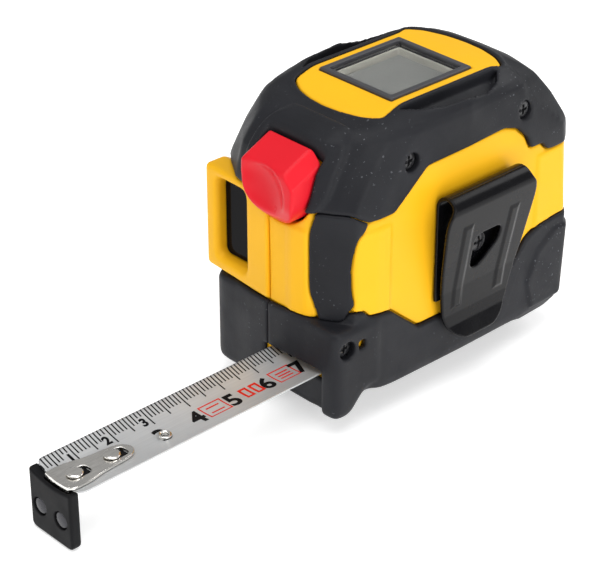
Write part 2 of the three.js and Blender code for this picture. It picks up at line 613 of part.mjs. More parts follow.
function buildHook() {
  const { face, back, y0, y1, z0, strapY } = HOOK;
  const strapPlan = [
    [103.5, strapY - 5.2], [103.5, strapY + 5.2], [98.6, strapY + 4.8], [94, strapY + 3.5],
    [88.6, strapY + 3.1], [86, strapY + 2.7], [84.4, strapY + 1.5], [83.8, strapY],
    [84.4, strapY - 1.5], [86, strapY - 2.7], [88.6, strapY - 3.1], [94, strapY - 3.5],
    [98.6, strapY - 4.8],
  ];
  const strap = prism('x', band(strapY - 5.2, strapY + 5.2, 0.1, 0.8, 8), 80, 103.5)
    .intersect(prism('z', strapPlan, 0, 20));
  const slots = RIVETS.map((x) => {
    const slot = roundedBox(x - 3.2, strapY - 1.4, x + 1.4, strapY + 1.4, 1.35, 3);
    return prism('z', slot, 0, 20);
  });
  const skyline = band(strapY - 5.2, strapY + 5.2, 0.1, 0.8, 8).slice(9);
  const tongue = prism('x', [[strapY - 5.2, 4.4], [strapY + 5.2, 4.4], ...skyline], 102.9, 103.5);
  part('hook', 'hook_strap', union(cut(strap, slots), tongue), NICKEL);

  const top = band(y0, y1, -BLADE.thick - 0.25, 1, 8).slice(0, 9).reverse();
  const plate = prism('x', [
    [y0, z0 + 1.2], [y0 + 1.2, z0], [y1 - 1.2, z0], [y1, z0 + 1.2], ...top,
  ], back, face);
  const pocket = box(102.65, 103.75, strapY - 5.5, y1 + 1, 4.1, 20);
  const magnets = [0.3, 7.3].map((y) => ({ y, z: 1.4, r: 2 }));
  const cups = magnets.map(({ y, z, r }) => rod('x', r + 0.15, face - 1.6, FAR * 3, [y, z], 18));
  part('hook', 'hook_cover', cut(plate, pocket, cups), BLACK_PLASTIC);
  magnets.forEach(({ y, z, r }, i) => {
    const magnet = turned([[0, 0], [r, 0], [r, 1.2], [r - 0.25, 1.45], [0, 1.45]], 18);
    part('hook', `hook_magnet_${i + 1}`, magnet, NICKEL, [face - 1.45, y, z], ALONG_X);
  });
}

// ---------------------------------------------------------------- blade lock

function buildLock() {
  const { y0, y1, front } = LOCK;
  const profile = prism('y', [
    [31.8, 62.2], [front, 58.3], [front + 0.2, 50.5], [38.9, 46.4], [37.2, 44.4], [31.8, 44.4],
  ], y0, y1);
  const outline = prism('x', [
    [y0, 62.4], [y0, 51], [y0 + 1, 48], [y0 + 3, 45.8], [y0 + 6, 44.6], [y1 - 6, 44.6], [y1 - 3, 45.8],
    [y1 - 1, 48], [y1, 51], [y1, 62.4],
  ], 20, FAR);
  const dish = new THREE.SphereGeometry(13, 20, 12);
  dish.translate(front + 11.4, (y0 + y1) / 2 - 1.2, 52);
  const knob = cut(profile.intersect(outline), solid(dish));
  const foot = box(31.2, 32, y0 - 1.9, y1 + 1.9, 45, 50);
  part('lock', 'lock_button', union(knob, foot), RED);
  const arm = prism('y', [
    [30.9, 50], [24.6, 50], [24.6, 13.9], [26, 13.9], [26, 48.6], [30.9, 48.6],
  ], -1, 9);
  part('lock', 'brake_arm', arm, SPRING_STEEL);
  part('lock', 'brake_pad', box(23, 28, -2, 12, 11.05, 13.6), RUBBER_BLACK);
}

// ---------------------------------------------------------------- belt clip

function buildClip() {
  const { sheet, foldY, foldZ, foldRadius, inner } = CLIP;
  const curl = (radius, from, to, steps = 7) => Array.from({ length: steps + 1 }, (_, i) => {
    const t = (from + (to - from) * i / steps) * Math.PI / 180;
    return [foldY + radius * Math.cos(t), foldZ + radius * Math.sin(t)];
  });

  const base = prism('x', [
    [inner, 19.4], [inner + sheet, 19.4],
    ...curl(foldRadius - sheet, 180, 88), ...curl(foldRadius, 88, 180),
  ], -12.4, 12.4);
  part('clip', 'clip_base', cut(base, rod('y', 1.7, 0, FAR, [0, REEL.z], 12)), BLACK_STEEL);

  const nose = 20.4;
  const leaf = prism('x', [
    ...curl(foldRadius, 68, 0, 5), [nose, 15], [nose + 0.5, 12], [nose + 2, 8.6], [nose + 1.2, 8.2],
    [nose - sheet - 0.4, 12], [nose - sheet, 15], ...curl(foldRadius - sheet, 0, 68, 5),
  ], -15, 15);
  const outline = prism('y', [
    [-12.4, 52], [-12.4, 45.4], [-14, 43.4], [-14.5, 40.4], [-13.2, 28], [-10.8, 14.6],
    [-8.6, 10.4], [-4.6, 8.1], [4.6, 8.1], [8.6, 10.4], [10.8, 14.6], [13.2, 28], [14.5, 40.4],
    [14, 43.4], [12.4, 45.4], [12.4, 52],
  ], 0, FAR);
  const eye = rod('y', 4.3, 0, FAR, [0, REEL.z], 20);
  part('clip', 'clip_leaf', cut(leaf.intersect(outline), eye), BLACK_STEEL);
  const screw = screwBody(2.4, 1.2, 1.1, 14);
  part('clip', 'clip_screw', screw, BLACK_STEEL, [0, inner + sheet + 1.3, REEL.z], ALONG_Y);
}

buildCase();
buildDisplay();
buildLaser();
buildPower();
buildKeys();
buildReel();
buildBlade();
buildHook();
buildLock();
buildClip();

export default tape;
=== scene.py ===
import functools
import json
import math

import bpy
import numpy as np
from mathutils import Matrix, Vector

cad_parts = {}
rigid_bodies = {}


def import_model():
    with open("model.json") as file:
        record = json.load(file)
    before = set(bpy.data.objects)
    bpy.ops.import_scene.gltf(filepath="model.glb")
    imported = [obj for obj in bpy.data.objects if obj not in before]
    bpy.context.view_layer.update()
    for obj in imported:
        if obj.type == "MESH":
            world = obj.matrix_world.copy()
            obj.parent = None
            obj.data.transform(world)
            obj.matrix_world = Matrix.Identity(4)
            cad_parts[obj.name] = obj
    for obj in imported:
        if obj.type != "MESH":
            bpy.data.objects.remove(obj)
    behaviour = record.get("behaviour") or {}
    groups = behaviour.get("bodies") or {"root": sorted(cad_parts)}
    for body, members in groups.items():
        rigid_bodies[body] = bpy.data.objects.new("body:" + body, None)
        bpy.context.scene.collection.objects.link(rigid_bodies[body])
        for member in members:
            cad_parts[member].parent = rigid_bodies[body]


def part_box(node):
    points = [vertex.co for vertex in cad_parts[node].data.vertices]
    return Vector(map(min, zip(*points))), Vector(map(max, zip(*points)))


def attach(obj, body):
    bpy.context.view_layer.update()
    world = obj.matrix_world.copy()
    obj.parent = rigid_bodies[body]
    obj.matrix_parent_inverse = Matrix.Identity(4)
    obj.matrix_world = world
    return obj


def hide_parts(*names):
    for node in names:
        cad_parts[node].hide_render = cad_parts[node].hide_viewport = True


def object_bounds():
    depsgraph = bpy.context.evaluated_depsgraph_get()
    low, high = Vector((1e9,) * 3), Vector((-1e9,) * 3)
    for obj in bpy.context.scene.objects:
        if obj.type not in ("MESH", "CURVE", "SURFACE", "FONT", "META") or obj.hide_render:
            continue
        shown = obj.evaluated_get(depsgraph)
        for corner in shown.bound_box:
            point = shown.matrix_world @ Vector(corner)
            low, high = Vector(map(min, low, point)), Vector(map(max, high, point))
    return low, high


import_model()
CAD_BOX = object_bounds()

# The looks of a laser tape measure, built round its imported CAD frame. Moulded pieces are made
# as fields of signed distance in millimetres, which give closed skins with soft edges; sheet
# metal, print and turned pieces are made as meshes. +X is the way the blade pulls out, +Y the
# belt-clip side, +Z up, and the case's halves meet at SEAM. Dimensions are in millimetres from
# the middle of the underside, which lies at ORIGIN in the frame.

MM = 0.001
ORIGIN = np.array([34.0, 8.0, 0.0])
FINE = 1.0


def mm_box(node):
    """A CAD node's lowest and highest corners in millimetres from the underside's middle."""
    low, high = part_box(node)
    return np.array(low) / MM - ORIGIN, np.array(high) / MM - ORIGIN


def centre_of(node):
    return sum(mm_box(node)) / 2


# ---- driving dimensions

SEAM = (mm_box("near_shell")[0][1] + mm_box("far_shell")[1][1]) / 2
SEAM_GAP = 0.08         # half the gap between the two shells
RUBBER = 1.5            # thickness of the rubber grips
PANEL_DROP = 0.8        # the yellow panels lie this far below the rubber
PANEL_STEP = 0.45       # the panels' raised ends stand this far above the rest
WALL = 3.8              # from the outer form to the inside of the shells
GRIP_GAP = 0.25         # groove between a shell's panel and the rubber
FAR = 90.0              # beyond the part in any direction
TOP = mm_box("display_plate")[1][2]
PLATE_HALF = 13.7
PLATE_GAP = 0.25        # groove round the top plate
PLATE_FLOOR = 58.0      # the plate's hole and its collar start at this height
COLLAR = 1.2            # the form's raised collar round the plate

# Levels of the case: height, foremost and rearmost x on the seam, half width, x of the edge
# where the slanted front corner meets the side, rounding of the rear corners, and how much the
# outline narrows towards both ends.
LEVELS = [
    (0.0, 37.2, -39.6, 19.6, 29.0, 1.6, 0.0),
    (3.6, 37.5, -41.8, 21.9, 29.5, 1.3, 0.0),
    (26.0, 37.6, -42.6, 22.0, 30.0, 1.2, 0.0),
    (50.0, 37.8, -41.4, 22.0, 29.6, 1.6, 0.0),
    (57.5, 35.6, -38.4, 21.9, 24.6, 3.6, 0.2),
    (63.7, 30.2, -32.8, 21.8, 19.2, 2.8, 0.7),
    (66.4, 25.5, -28.8, 21.0, 14.5, 2.0, 2.1),
    (67.6, 22.0, -26.0, 18.5, 11.0, 2.0, 2.1),
]

# The case from the side, as (x, z).
SIDE_VIEW = [
    (-42.6, 0), (37.8, 0), (37.8, 50), (35.6, 57.5), (32.4, 61.4), (28.8, 64), (24, 65.2),
    (20, 65.5), (10.8, TOP), (-18, TOP), (-25.4, 67), (-29.6, 65.9), (-33.2, 64), (-36.8, 61),
    (-39.2, 57), (-41.4, 50), (-42.6, 26),
]

# The top plate in plan, as (x, distance from the seam).
PLATE = [
    (20.2, 0), (19.9, 5), (18.9, 10), (16.7, 14.6), (10.8, PLATE_HALF), (-18, PLATE_HALF),
    (-20.6, 15), (-23.2, 11), (-24.8, 5.6), (-25.2, 0), (-24.6, -5.6), (-22.8, -11),
    (-19.6, -14.6), (-17, -PLATE_HALF), (10.8, -PLATE_HALF), (16.3, -13.2), (18.6, -9.4),
    (19.8, -5),
]

# The cap's lower edge and the bumper's upper edge, as (x, z).
CAP_EDGE = [
    (-60, 44.4), (-33.2, 44.7), (-31.1, 45), (-29.1, 47.3), (-25, 47.4), (-23.4, 50.8),
    (-20, 54), (-15.6, 55.4), (9.1, 54.6), (19.1, 46.6), (26.4, 46.6), (30.4, 49), (60, 49),
]
BUMPER_EDGE = [
    (-60, 25.5), (-36, 26), (-29.6, 25.5), (-25.1, 24), (-19.7, 18.3), (-12, 14.5),
    (10.7, 14.7), (19.5, 22.2), (26.1, 23.1), (27.1, 24.8), (30.2, 25), (31.5, 22.6), (60, 22.6),
]
# The corner grip seen in plan (x, y), from the front (y, z) and from the side (x, z).
STRIP_PLAN = [(60, 8.6), (34, 8.6), (24, 15), (29.6, 30), (60, 30)]
STRIP_FACE = [
    (10.6, 19), (10.6, 22.6), (8.5, 30), (7.8, 36), (8.4, 43), (10, 49.4), (10, 54), (40, 54),
    (40, 19),
]
STRIP_SIDE = [
    (60, 20.9), (31.4, 20.9), (30.6, 25), (29.7, 27), (30.1, 31), (30.2, 36), (29.7, 40.6),
    (29, 43.4), (27.4, 44.4), (26.4, 46.6), (27.4, 52), (60, 52),
]

MOUTH = dict(y0=-4.3, y1=13.8, z0=7.8, z1=11.4, back=34.8)
LOCK = dict(y0=-7.8, y1=8.6, front=40.4, bottom=44.3, back=31.2, gap=0.35)
WINDOW = dict(y0=-21.2, y1=-10.8, z0=26.3, z1=46.4)
HOUSING = dict(y0=-25.2, y1=-9.0, z0=22.8, z1=49.0)
DOOR = dict(x0=-35.0, x1=13.4, z0=7.4, z1=30.4, depth=-18.6)
SCREWS = [("case_screw_top_front", 14, 57), ("case_screw_top_rear", -22.8, 57.4),
          ("case_screw_bottom_front", 33, 17.5)]
SCREW_HOLE = dict(radius=2.2, floor=15.4, well=2.75, well_floor=14.6)
KEYS = [("measure_key", -2, 44.5, 5.0), ("mode_key", -14.5, 44.5, 3.4)]

# ---- fields


def soften(points, radius=0, steps=4, closed=True):
    """An outline whose corners are rounded off by up to radius."""
    p = np.array(points, float)
    if not radius:
        return p
    out = []
    n = len(p)
    for i in range(n):
        if not closed and i in (0, n - 1):
            out.append(p[i])
            continue
        a, b, c = p[i - 1], p[i], p[(i + 1) % n]
        ra = min(radius, np.linalg.norm(a - b) * 0.48)
        rc = min(radius, np.linalg.norm(c - b) * 0.48)
        start = b + (a - b) / max(np.linalg.norm(a - b), 1e-9) * ra
        end = b + (c - b) / max(np.linalg.norm(c - b), 1e-9) * rc
        for t in np.linspace(0, 1, steps + 1):
            out.append((1 - t) ** 2 * start + 2 * t * (1 - t) * b + t * t * end)
    return np.array(out)


def rectangle(u0, v0, u1, v1):
    return [(u0, v0), (u1, v0), (u1, v1), (u0, v1)]


def outline_distance(u, v, outline):
    """Signed distance, negative inside, from points (u, v) to a closed outline."""
    u, v = np.broadcast_arrays(u.astype(np.float32), v.astype(np.float32))
    best = np.full(u.shape, 1e12, np.float32)
    inside = np.zeros(u.shape, bool)
    p = np.array(outline, np.float32)
    for a, b in zip(p, np.roll(p, -1, 0)):
        e = b - a
        length = float(e @ e)
        if length < 1e-9:
            continue
        wu, wv = u - a[0], v - a[1]
        t = np.clip((wu * e[0] + wv * e[1]) / length, 0, 1)
        best = np.minimum(best, (wu - e[0] * t) ** 2 + (wv - e[1] * t) ** 2)
        if a[1] != b[1]:
            crosses = (a[1] <= v) != (b[1] <= v)
            inside ^= crosses & (u < a[0] + (v - a[1]) / (b[1] - a[1]) * e[0])
    return np.where(inside, -1, 1) * np.sqrt(best)


def smax(a, b, k):
    """The intersection of two fields with a rounded edge about k wide."""
    h = np.clip(0.5 + 0.5 * (a - b) / k, 0, 1)
    return a * h + b * (1 - h) + k * h * (1 - h)


def smin(a, b, k):
    """The union of two fields with a fillet about k wide."""
    return -smax(-a, -b, k)


def minus(a, b, k=0.5):
    """Field a with field b cut out of it."""
    return smax(a, -b, k)


def slab(axis, low, high):
    """Negative between two values on an axis."""
    return np.abs(axis - (low + high) / 2) - (high - low) / 2


class Grid:
    """A box of sample points, in millimetres."""

    def __init__(self, low, high, step):
        self.low = np.array(low, float)
        self.step = step * FINE
        counts = np.ceil((np.array(high, float) - self.low) / self.step).astype(int) + 1
        x, y, z = (self.low[i] + np.arange(counts[i]) * self.step for i in range(3))
        self.x = x.reshape(-1, 1, 1).astype(np.float32)
        self.y = y.reshape(1, -1, 1).astype(np.float32)
        self.z = z.reshape(1, 1, -1).astype(np.float32)
        self.shape = tuple(counts)

    # Distances from an outline seen from one side; the rounding is what soften takes.

    def side(self, outline, *rounding):
        return outline_distance(self.x, self.z, soften(outline, *rounding))

    def plan(self, outline, *rounding):
        return outline_distance(self.x, self.y, soften(outline, *rounding))

    def front(self, outline, *rounding):
        return outline_distance(self.y, self.z, soften(outline, *rounding))

    def rod_y(self, x, z, r):
        return np.hypot(self.x - x, self.z - z) - r

    def rod_x(self, y, z, r):
        return np.hypot(self.y - y, self.z - z) - r

    def box(self, low, high, r=0.5):
        """A box with rounded edges."""
        d = [slab(*axis) + r for axis in zip((self.x, self.y, self.z), low, high)]
        out = sum(np.maximum(q, 0) ** 2 for q in d)
        inner = np.minimum(np.maximum(np.maximum(d[0], d[1]), d[2]), 0)
        return np.sqrt(out) + inner - r


CELL = [(i, j, k) for i in (0, 1) for j in (0, 1) for k in (0, 1)]
CELL_EDGES = [(a, b) for a in range(8) for b in range(a + 1, 8)
              if sum(abs(p - q) for p, q in zip(CELL[a], CELL[b])) == 1]


def sample(f, p):
    """A field's value and slope at fractional grid places p."""
    top = np.array(f.shape) - 2
    base = np.clip(np.floor(p).astype(int), 0, top)
    t = p - base
    value = np.zeros(len(p))
    slope = np.zeros((len(p), 3))
    for c in CELL:
        w = np.where(np.array(c), t, 1 - t)
        v = f[base[:, 0] + c[0], base[:, 1] + c[1], base[:, 2] + c[2]]
        value += v * w[:, 0] * w[:, 1] * w[:, 2]
        for a in range(3):
            b, d = (a + 1) % 3, (a + 2) % 3
            slope[:, a] += v * (1 if c[a] else -1) * w[:, b] * w[:, d]
    return value, slope


def skin(f):
    """Vertices, in grid places, and quads of the closed surface where a field is zero."""
    f = np.pad(f, 1, constant_values=5.0)
    inside = f < 0
    counts = [n - 1 for n in f.shape]
    total = np.zeros(counts, np.int8)
    for c in CELL:
        total += inside[c[0]:c[0] + counts[0], c[1]:c[1] + counts[1], c[2]:c[2] + counts[2]]
    cells = np.argwhere((total > 0) & (total < 8))
    index = np.full(counts, -1, np.int32)
    index[tuple(cells.T)] = np.arange(len(cells))
    corner = np.stack([f[tuple((cells + c).T)] for c in CELL], 1).astype(float)
    places = np.zeros((len(cells), 3))
    hits = np.zeros(len(cells))
    for a, b in CELL_EDGES:
        crossing = (corner[:, a] < 0) != (corner[:, b] < 0)
        gap = np.where(crossing, corner[:, a] - corner[:, b], 1)
        t = np.where(crossing, corner[:, a] / gap, 0)
        at = np.array(CELL[a]) + t[:, None] * (np.array(CELL[b]) - np.array(CELL[a]))
        places += np.where(crossing[:, None], at, 0)
        hits += crossing
    vertices = cells + places / hits[:, None]
    for _ in range(2):
        value, slope = sample(f, vertices)
        size = np.maximum((slope ** 2).sum(1), 0.05)
        move = -slope * (value / size)[:, None]
        far = np.linalg.norm(move, axis=1)
        move *= np.minimum(1, 0.3 / np.maximum(far, 1e-9))[:, None]
        vertices = np.clip(vertices + move, cells + 0.02, cells + 0.98)
    quads = []
    for axis in range(3):
        low = [slice(1, n) for n in counts]
        low[axis] = slice(0, counts[axis])
        high = list(low)
        high[axis] = slice(1, counts[axis] + 1)
        a, b = inside[tuple(low)], inside[tuple(high)]
        edges = np.argwhere(a != b)
        out = a[tuple(edges.T)]
        start = np.array([1, 1, 1])
        start[axis] = 0
        edges = edges + start
        u, v = np.zeros(3, int), np.zeros(3, int)
        u[(axis + 1) % 3], v[(axis + 2) % 3] = 1, 1
        ring = [index[tuple((edges - s).T)] for s in (u + v, v, 0 * u, u)]
        ring = np.stack(ring, 1)
        ring[~out] = ring[~out][:, ::-1]
        quads.append(ring)
    return vertices - 1, np.concatenate(quads)


def placed(name, data):
    """A new object in the scene."""
    thing = bpy.data.objects.new(name, data)
    bpy.context.scene.collection.objects.link(thing)
    return thing


def new_object(name, vertices, faces, body, material, node_slot, smooth=True):
    """A piece from vertices in millimetres and faces, riding on a CAD body."""
    mesh = bpy.data.meshes.new(name)
    vertices = (np.asarray(vertices, np.float64) + ORIGIN) * MM
    if isinstance(faces, np.ndarray):
        mesh.vertices.add(len(vertices))
        mesh.vertices.foreach_set("co", vertices.astype(np.float32).ravel())
        mesh.loops.add(faces.size)
        mesh.loops.foreach_set("vertex_index", faces.astype(np.int32).ravel())
        mesh.polygons.add(len(faces))
        starts = np.arange(0, faces.size, faces.shape[1], dtype=np.int32)
        mesh.polygons.foreach_set("loop_start", starts)
        mesh.update(calc_edges=True)
    else:
        mesh.from_pydata([tuple(v) for v in vertices], [], [tuple(f) for f in faces])
    mesh.polygons.foreach_set("use_smooth", np.full(len(mesh.polygons), smooth))
    mesh.materials.append(material)
    mesh.validate()
    piece = placed(name, mesh)
    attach(piece, body)
    return piece


def moulded(name, grid, field, body, material, node_slot, node):
    """A piece in a CAD node's place whose surface is where a field on a grid is zero."""
    field = np.ascontiguousarray(np.broadcast_to(field, grid.shape))
    vertices, quads = skin(field)
    piece = new_object(name, grid.low + vertices * grid.step, quads, body, material, node_slot)
    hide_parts(node)


# ---- materials


def nodes_of(name):
    material = bpy.data.materials.new(name)
    material.use_nodes = True
    tree = material.node_tree
    return material, tree, tree.nodes["Principled BSDF"]


def put(node, **values):
    """Set a node's inputs; an underscore stands for a space in an input's name."""
    for name, value in values.items():
        node.inputs[name.replace("_", " ")].default_value = value


def noise(tree, place, scale, detail=3.0, rough=0.55):
    node = tree.nodes.new("ShaderNodeTexNoise")
    put(node, Scale=scale, Detail=detail, Roughness=rough)
    tree.links.new(place, node.inputs["Vector"])
    return node.outputs["Fac"]


def ramp(tree, value, stops):
    """A colour ramp; each stop is a position and a linear colour or a grey value."""
    node = tree.nodes.new("ShaderNodeValToRGB")
    while len(node.color_ramp.elements) < len(stops):
        node.color_ramp.elements.new(0.5)
    for element, (position, colour) in zip(node.color_ramp.elements, stops):
        element.position = position
        element.color = (colour, colour, colour, 1) if isinstance(colour, float) else (*colour, 1)
    tree.links.new(value, node.inputs["Fac"])
    return node.outputs["Color"]


def mixed(tree, a, b, factor, mode="MIX"):
    node = tree.nodes.new("ShaderNodeMix")
    node.data_type = "RGBA"
    node.blend_type = mode
    for socket, value in (("Factor", factor), ("A", a), ("B", b)):
        target = [s for s in node.inputs if s.name == socket and s.enabled][0]
        if isinstance(value, bpy.types.NodeSocket):
            tree.links.new(value, target)
        elif socket == "Factor":
            target.default_value = value
        else:
            target.default_value = (*value, 1)
    return [s for s in node.outputs if s.enabled][0]


def bump(tree, shader, height, distance, strength):
    node = tree.nodes.new("ShaderNodeBump")
    put(node, Distance=distance, Strength=strength)
    tree.links.new(height, node.inputs["Height"])
    tree.links.new(node.outputs["Normal"], shader.inputs["Normal"])


def place_of(tree, stretch=None):
    coordinates = tree.nodes.new("ShaderNodeTexCoord").outputs["Object"]
    if stretch is None:
        return coordinates
    node = tree.nodes.new("ShaderNodeMapping")
    put(node, Scale=stretch)
    tree.links.new(coordinates, node.inputs["Vector"])
    return node.outputs["Vector"]


def scaled(colour, k):
    return tuple(min(1.0, c * k) for c in colour)


def tones(tree, value, colour, variation):
    """A colour that varies about its middle."""
    dark, light = scaled(colour, 1 - variation), scaled(colour, 1 + variation)
    return ramp(tree, value, [(0.3, dark), (0.7, light)])


def dress(tree, shader, tone, gloss):
    tree.links.new(tone, shader.inputs["Base Color"])
    tree.links.new(gloss, shader.inputs["Roughness"])


GRAIN_SCALE = 2600


def plastic(name, colour, rough, grain, variation, specks=None, speck_amount=0.62, spread=0.07,
            shine=0.5):
    """Moulded plastic or rubber: slow tone changes, fine spark grain and optional dust."""
    material, tree, shader = nodes_of(name)
    place = place_of(tree)
    tone = tones(tree, noise(tree, place, 45, 2.0), colour, variation)
    if specks:
        dust = ramp(tree, noise(tree, place, 1500, 1.0, 0.4),
                    [(speck_amount + 0.1, 0.0), (speck_amount + 0.14, 1.0)])
        patches = ramp(tree, noise(tree, place, 60, 2.0), [(0.45, 0.0), (0.7, 0.75)])
        amount = tree.nodes.new("ShaderNodeMath")
        amount.operation = "MULTIPLY"
        tree.links.new(dust, amount.inputs[0])
        tree.links.new(patches, amount.inputs[1])
        tone = mixed(tree, tone, specks, amount.outputs[0])
    gloss = ramp(tree, noise(tree, place, 160, 3.0),
                 [(0.3, max(0.0, rough - spread)), (0.7, min(1.0, rough + spread))])
    dress(tree, shader, tone, gloss)
    put(shader, Specular_IOR_Level=shine)
    bump(tree, shader, noise(tree, place, GRAIN_SCALE, 2.0), grain * MM, 0.9)
    return material


def metal(name, colour, rough, stretch=None, scratch=0.012, spread=0.1, blotch=0.06, metallic=1.0):
    """Metal with fine brushed lines along the axis that the stretch leaves long."""
    material, tree, shader = nodes_of(name)
    place = place_of(tree)
    lines = place_of(tree, stretch or (900, 900, 900))
    fine = noise(tree, lines, 1.0, 4.0, 0.6)
    tone = tones(tree, noise(tree, place, 90, 2.0), colour, blotch)
    tone = mixed(tree, tone, ramp(tree, fine, [(0.35, 0.82), (0.65, 1.0)]), 0.5, "MULTIPLY")
    put(shader, Metallic=metallic)
    gloss = ramp(tree, fine, [(0.3, max(0.02, rough - spread)), (0.7, rough + spread)])
    dress(tree, shader, tone, gloss)
    bump(tree, shader, fine, scratch * MM, 0.7)
    return material


def clear(name, tint, rough):
    """A clear moulded window with faint marks."""
    material, tree, shader = nodes_of(name)
    place = place_of(tree)
    tone = ramp(tree, noise(tree, place, 120), [(0.4, tint), (0.6, scaled(tint, 0.97))])
    gloss = ramp(tree, noise(tree, place, 700), [(0.45, rough), (0.65, rough + 0.05)])
    dress(tree, shader, tone, gloss)
    put(shader, Transmission_Weight=1.0, IOR=1.18)
    return material


# Plastics by name, colour, roughness, grain in millimetres and variation of tone.
YELLOW = plastic("yellow_plastic", (0.89, 0.465, 0.011), 0.42, 0.012, 0.03, spread=0.04,
                 shine=0.14)
RUBBER_BLACK = plastic("rubber_black", (0.0115, 0.012, 0.015), 0.52, 0.025, 0.2,
                       specks=(0.13, 0.135, 0.15), speck_amount=0.61, shine=0.2)
RED = plastic("red_plastic", (0.70, 0.013, 0.024), 0.3, 0.006, 0.03, spread=0.03, shine=0.14)
CLIP_BLACK = plastic("clip_black", (0.004, 0.004, 0.005), 0.24, 0.004, 0.2,
                     specks=(0.2, 0.2, 0.21), speck_amount=0.68, shine=0.16)
BLACK_PLASTIC = plastic("black_plastic", (0.007, 0.007, 0.008), 0.5, 0.01, 0.15, shine=0.1)
GREY_PLASTIC = plastic("grey_plastic", (0.045, 0.045, 0.050), 0.34, 0.006, 0.08)
PALE_PLASTIC = plastic("pale_plastic", (0.50, 0.48, 0.42), 0.45, 0.006, 0.05)
GLOSS_BLACK = plastic("gloss_black", (0.003, 0.003, 0.004), 0.07, 0.001, 0.2, spread=0.02,
                      shine=0.05)
BOARD = plastic("circuit_board", (0.018, 0.12, 0.045), 0.42, 0.01, 0.15)
SLEEVE = plastic("cell_sleeve", (0.24, 0.25, 0.27), 0.3, 0.004, 0.12)
TAPE = metal("tape_steel", (0.56, 0.57, 0.575), 0.36, (60, 2600, 2600), scratch=0.006,
             spread=0.05, blotch=0.04, metallic=0.35)
NICKEL = metal("nickel", (0.86, 0.84, 0.80), 0.2, (300, 1500, 1500), scratch=0.008, spread=0.06)
STEEL = metal("plain_steel", (0.30, 0.30, 0.30), 0.34)
MAGNET = metal("magnet_steel", (0.055, 0.055, 0.06), 0.26)
DARK_STEEL = metal("spring_steel", (0.2, 0.21, 0.22), 0.35)
BRASS = metal("brass", (0.72, 0.5, 0.2), 0.28)
WINDOW_CLEAR = clear("window_clear", (0.95, 0.96, 0.96), 0.04)
SCREW_BLACK = plastic("screw_black", (0.02, 0.02, 0.022), 0.3, 0.006, 0.15)
# This black is the scale's ink, and it also paints the shade inside the hook strap's slots.
INK_AND_SLOT_SHADE = plastic("black_ink_and_slot_shade", (0.005, 0.005, 0.006), 0.5, 0.002, 0.2, shine=0.08)
RED_INK = plastic("red_ink", (0.60, 0.022, 0.010), 0.5, 0.002, 0.08, shine=0.1)


def screen_material():
    """The blank screen: a grey liquid crystal of uneven tone."""
    material, tree, shader = nodes_of("lcd")
    place = place_of(tree)
    tone = ramp(tree, noise(tree, place, 60, 1.0),
                [(0.3, (0.24, 0.24, 0.225)), (0.7, (0.27, 0.27, 0.255))])
    gloss = ramp(tree, noise(tree, place, 300), [(0.3, 0.3), (0.7, 0.36)])
    dress(tree, shader, tone, gloss)
    return material


LCD = screen_material()

# ---- outer form of the case


def level_outline(front, rear, half, corner, rounding, bow):
    """The case's outline at one level, as (x, distance from the seam) points."""
    side = [
        (front, 0), (front - 0.3, 6), (front - 1.4, 11),
        ((front - 1.4) * 0.42 + corner * 0.58, 11 + (half - 11) * 0.55),
        (corner, half - 1.4 - bow), (corner - 6, half - 0.35 - bow * 0.5), (-4, half),
        (-23, half - 0.2 - bow * 2.4),
        (min(rear + rounding * 3, -23.8), half - 0.8 - bow * 3),
        (rear + rounding, half - 3 - bow * 3), (rear + 0.4, 8), (rear, 0),
    ]
    return np.array(side + [(x, -u) for x, u in side[-2:0:-1]])


def rings(grid):
    """Distance from the level outlines, slice by slice, with the levels blended smoothly."""
    slice_gap, fine_gap, blend = 1.5, 0.25, 0.7
    z = grid.z.ravel()
    heights, *columns = np.array(LEVELS).T
    fine = np.arange(-12, 82, fine_gap)
    kernel = np.exp(-0.5 * (np.arange(-12, 13) * fine_gap / blend) ** 2)
    kernel /= kernel.sum()
    columns = [np.convolve(np.interp(fine, heights, c), kernel, "same") for c in columns]
    stops = np.arange(z[0], z[-1] + slice_gap, slice_gap)
    planes = []
    for height in stops:
        values = [np.interp(height, fine, column) for column in columns]
        outline = soften(level_outline(*values), 0.6, 2)
        outline = outline + np.array([0, SEAM])
        planes.append(grid.plan(outline)[..., 0])
    planes = np.stack(planes, -1)
    at = (z - stops[0]) / slice_gap
    low = np.clip(np.floor(at).astype(int), 0, len(stops) - 2)
    t = (at - low).astype(np.float32)
    return planes[..., low] * (1 - t) + planes[..., low + 1] * t


def plate_outline(grow):
    """The plate's outline in plan, grown by a distance."""
    p = soften(PLATE, 1.2, 2)
    centre = np.array([-2.5, 0])
    size = np.linalg.norm(p - centre, axis=1, keepdims=True)
    p = centre + (p - centre) * (1 + grow / size)
    return p + np.array([0, SEAM])


def leg_block(grid):
    """The squarer front of the bumper with its two legs."""
    plan = soften([(22, SEAM - 21.8), (30, SEAM - 21.8), (37.2, SEAM - 17.6), (37.2, SEAM + 21.8),
                   (22, SEAM + 21.9)], 3.2, 6)
    profile = soften([(20, 5.4), (27, 5), (31.6, 0), (37.2, 0), (37.2, 22.5), (20, 22.5)], 2.0, 5)
    return smax(grid.plan(plan), grid.side(profile), 2.2)


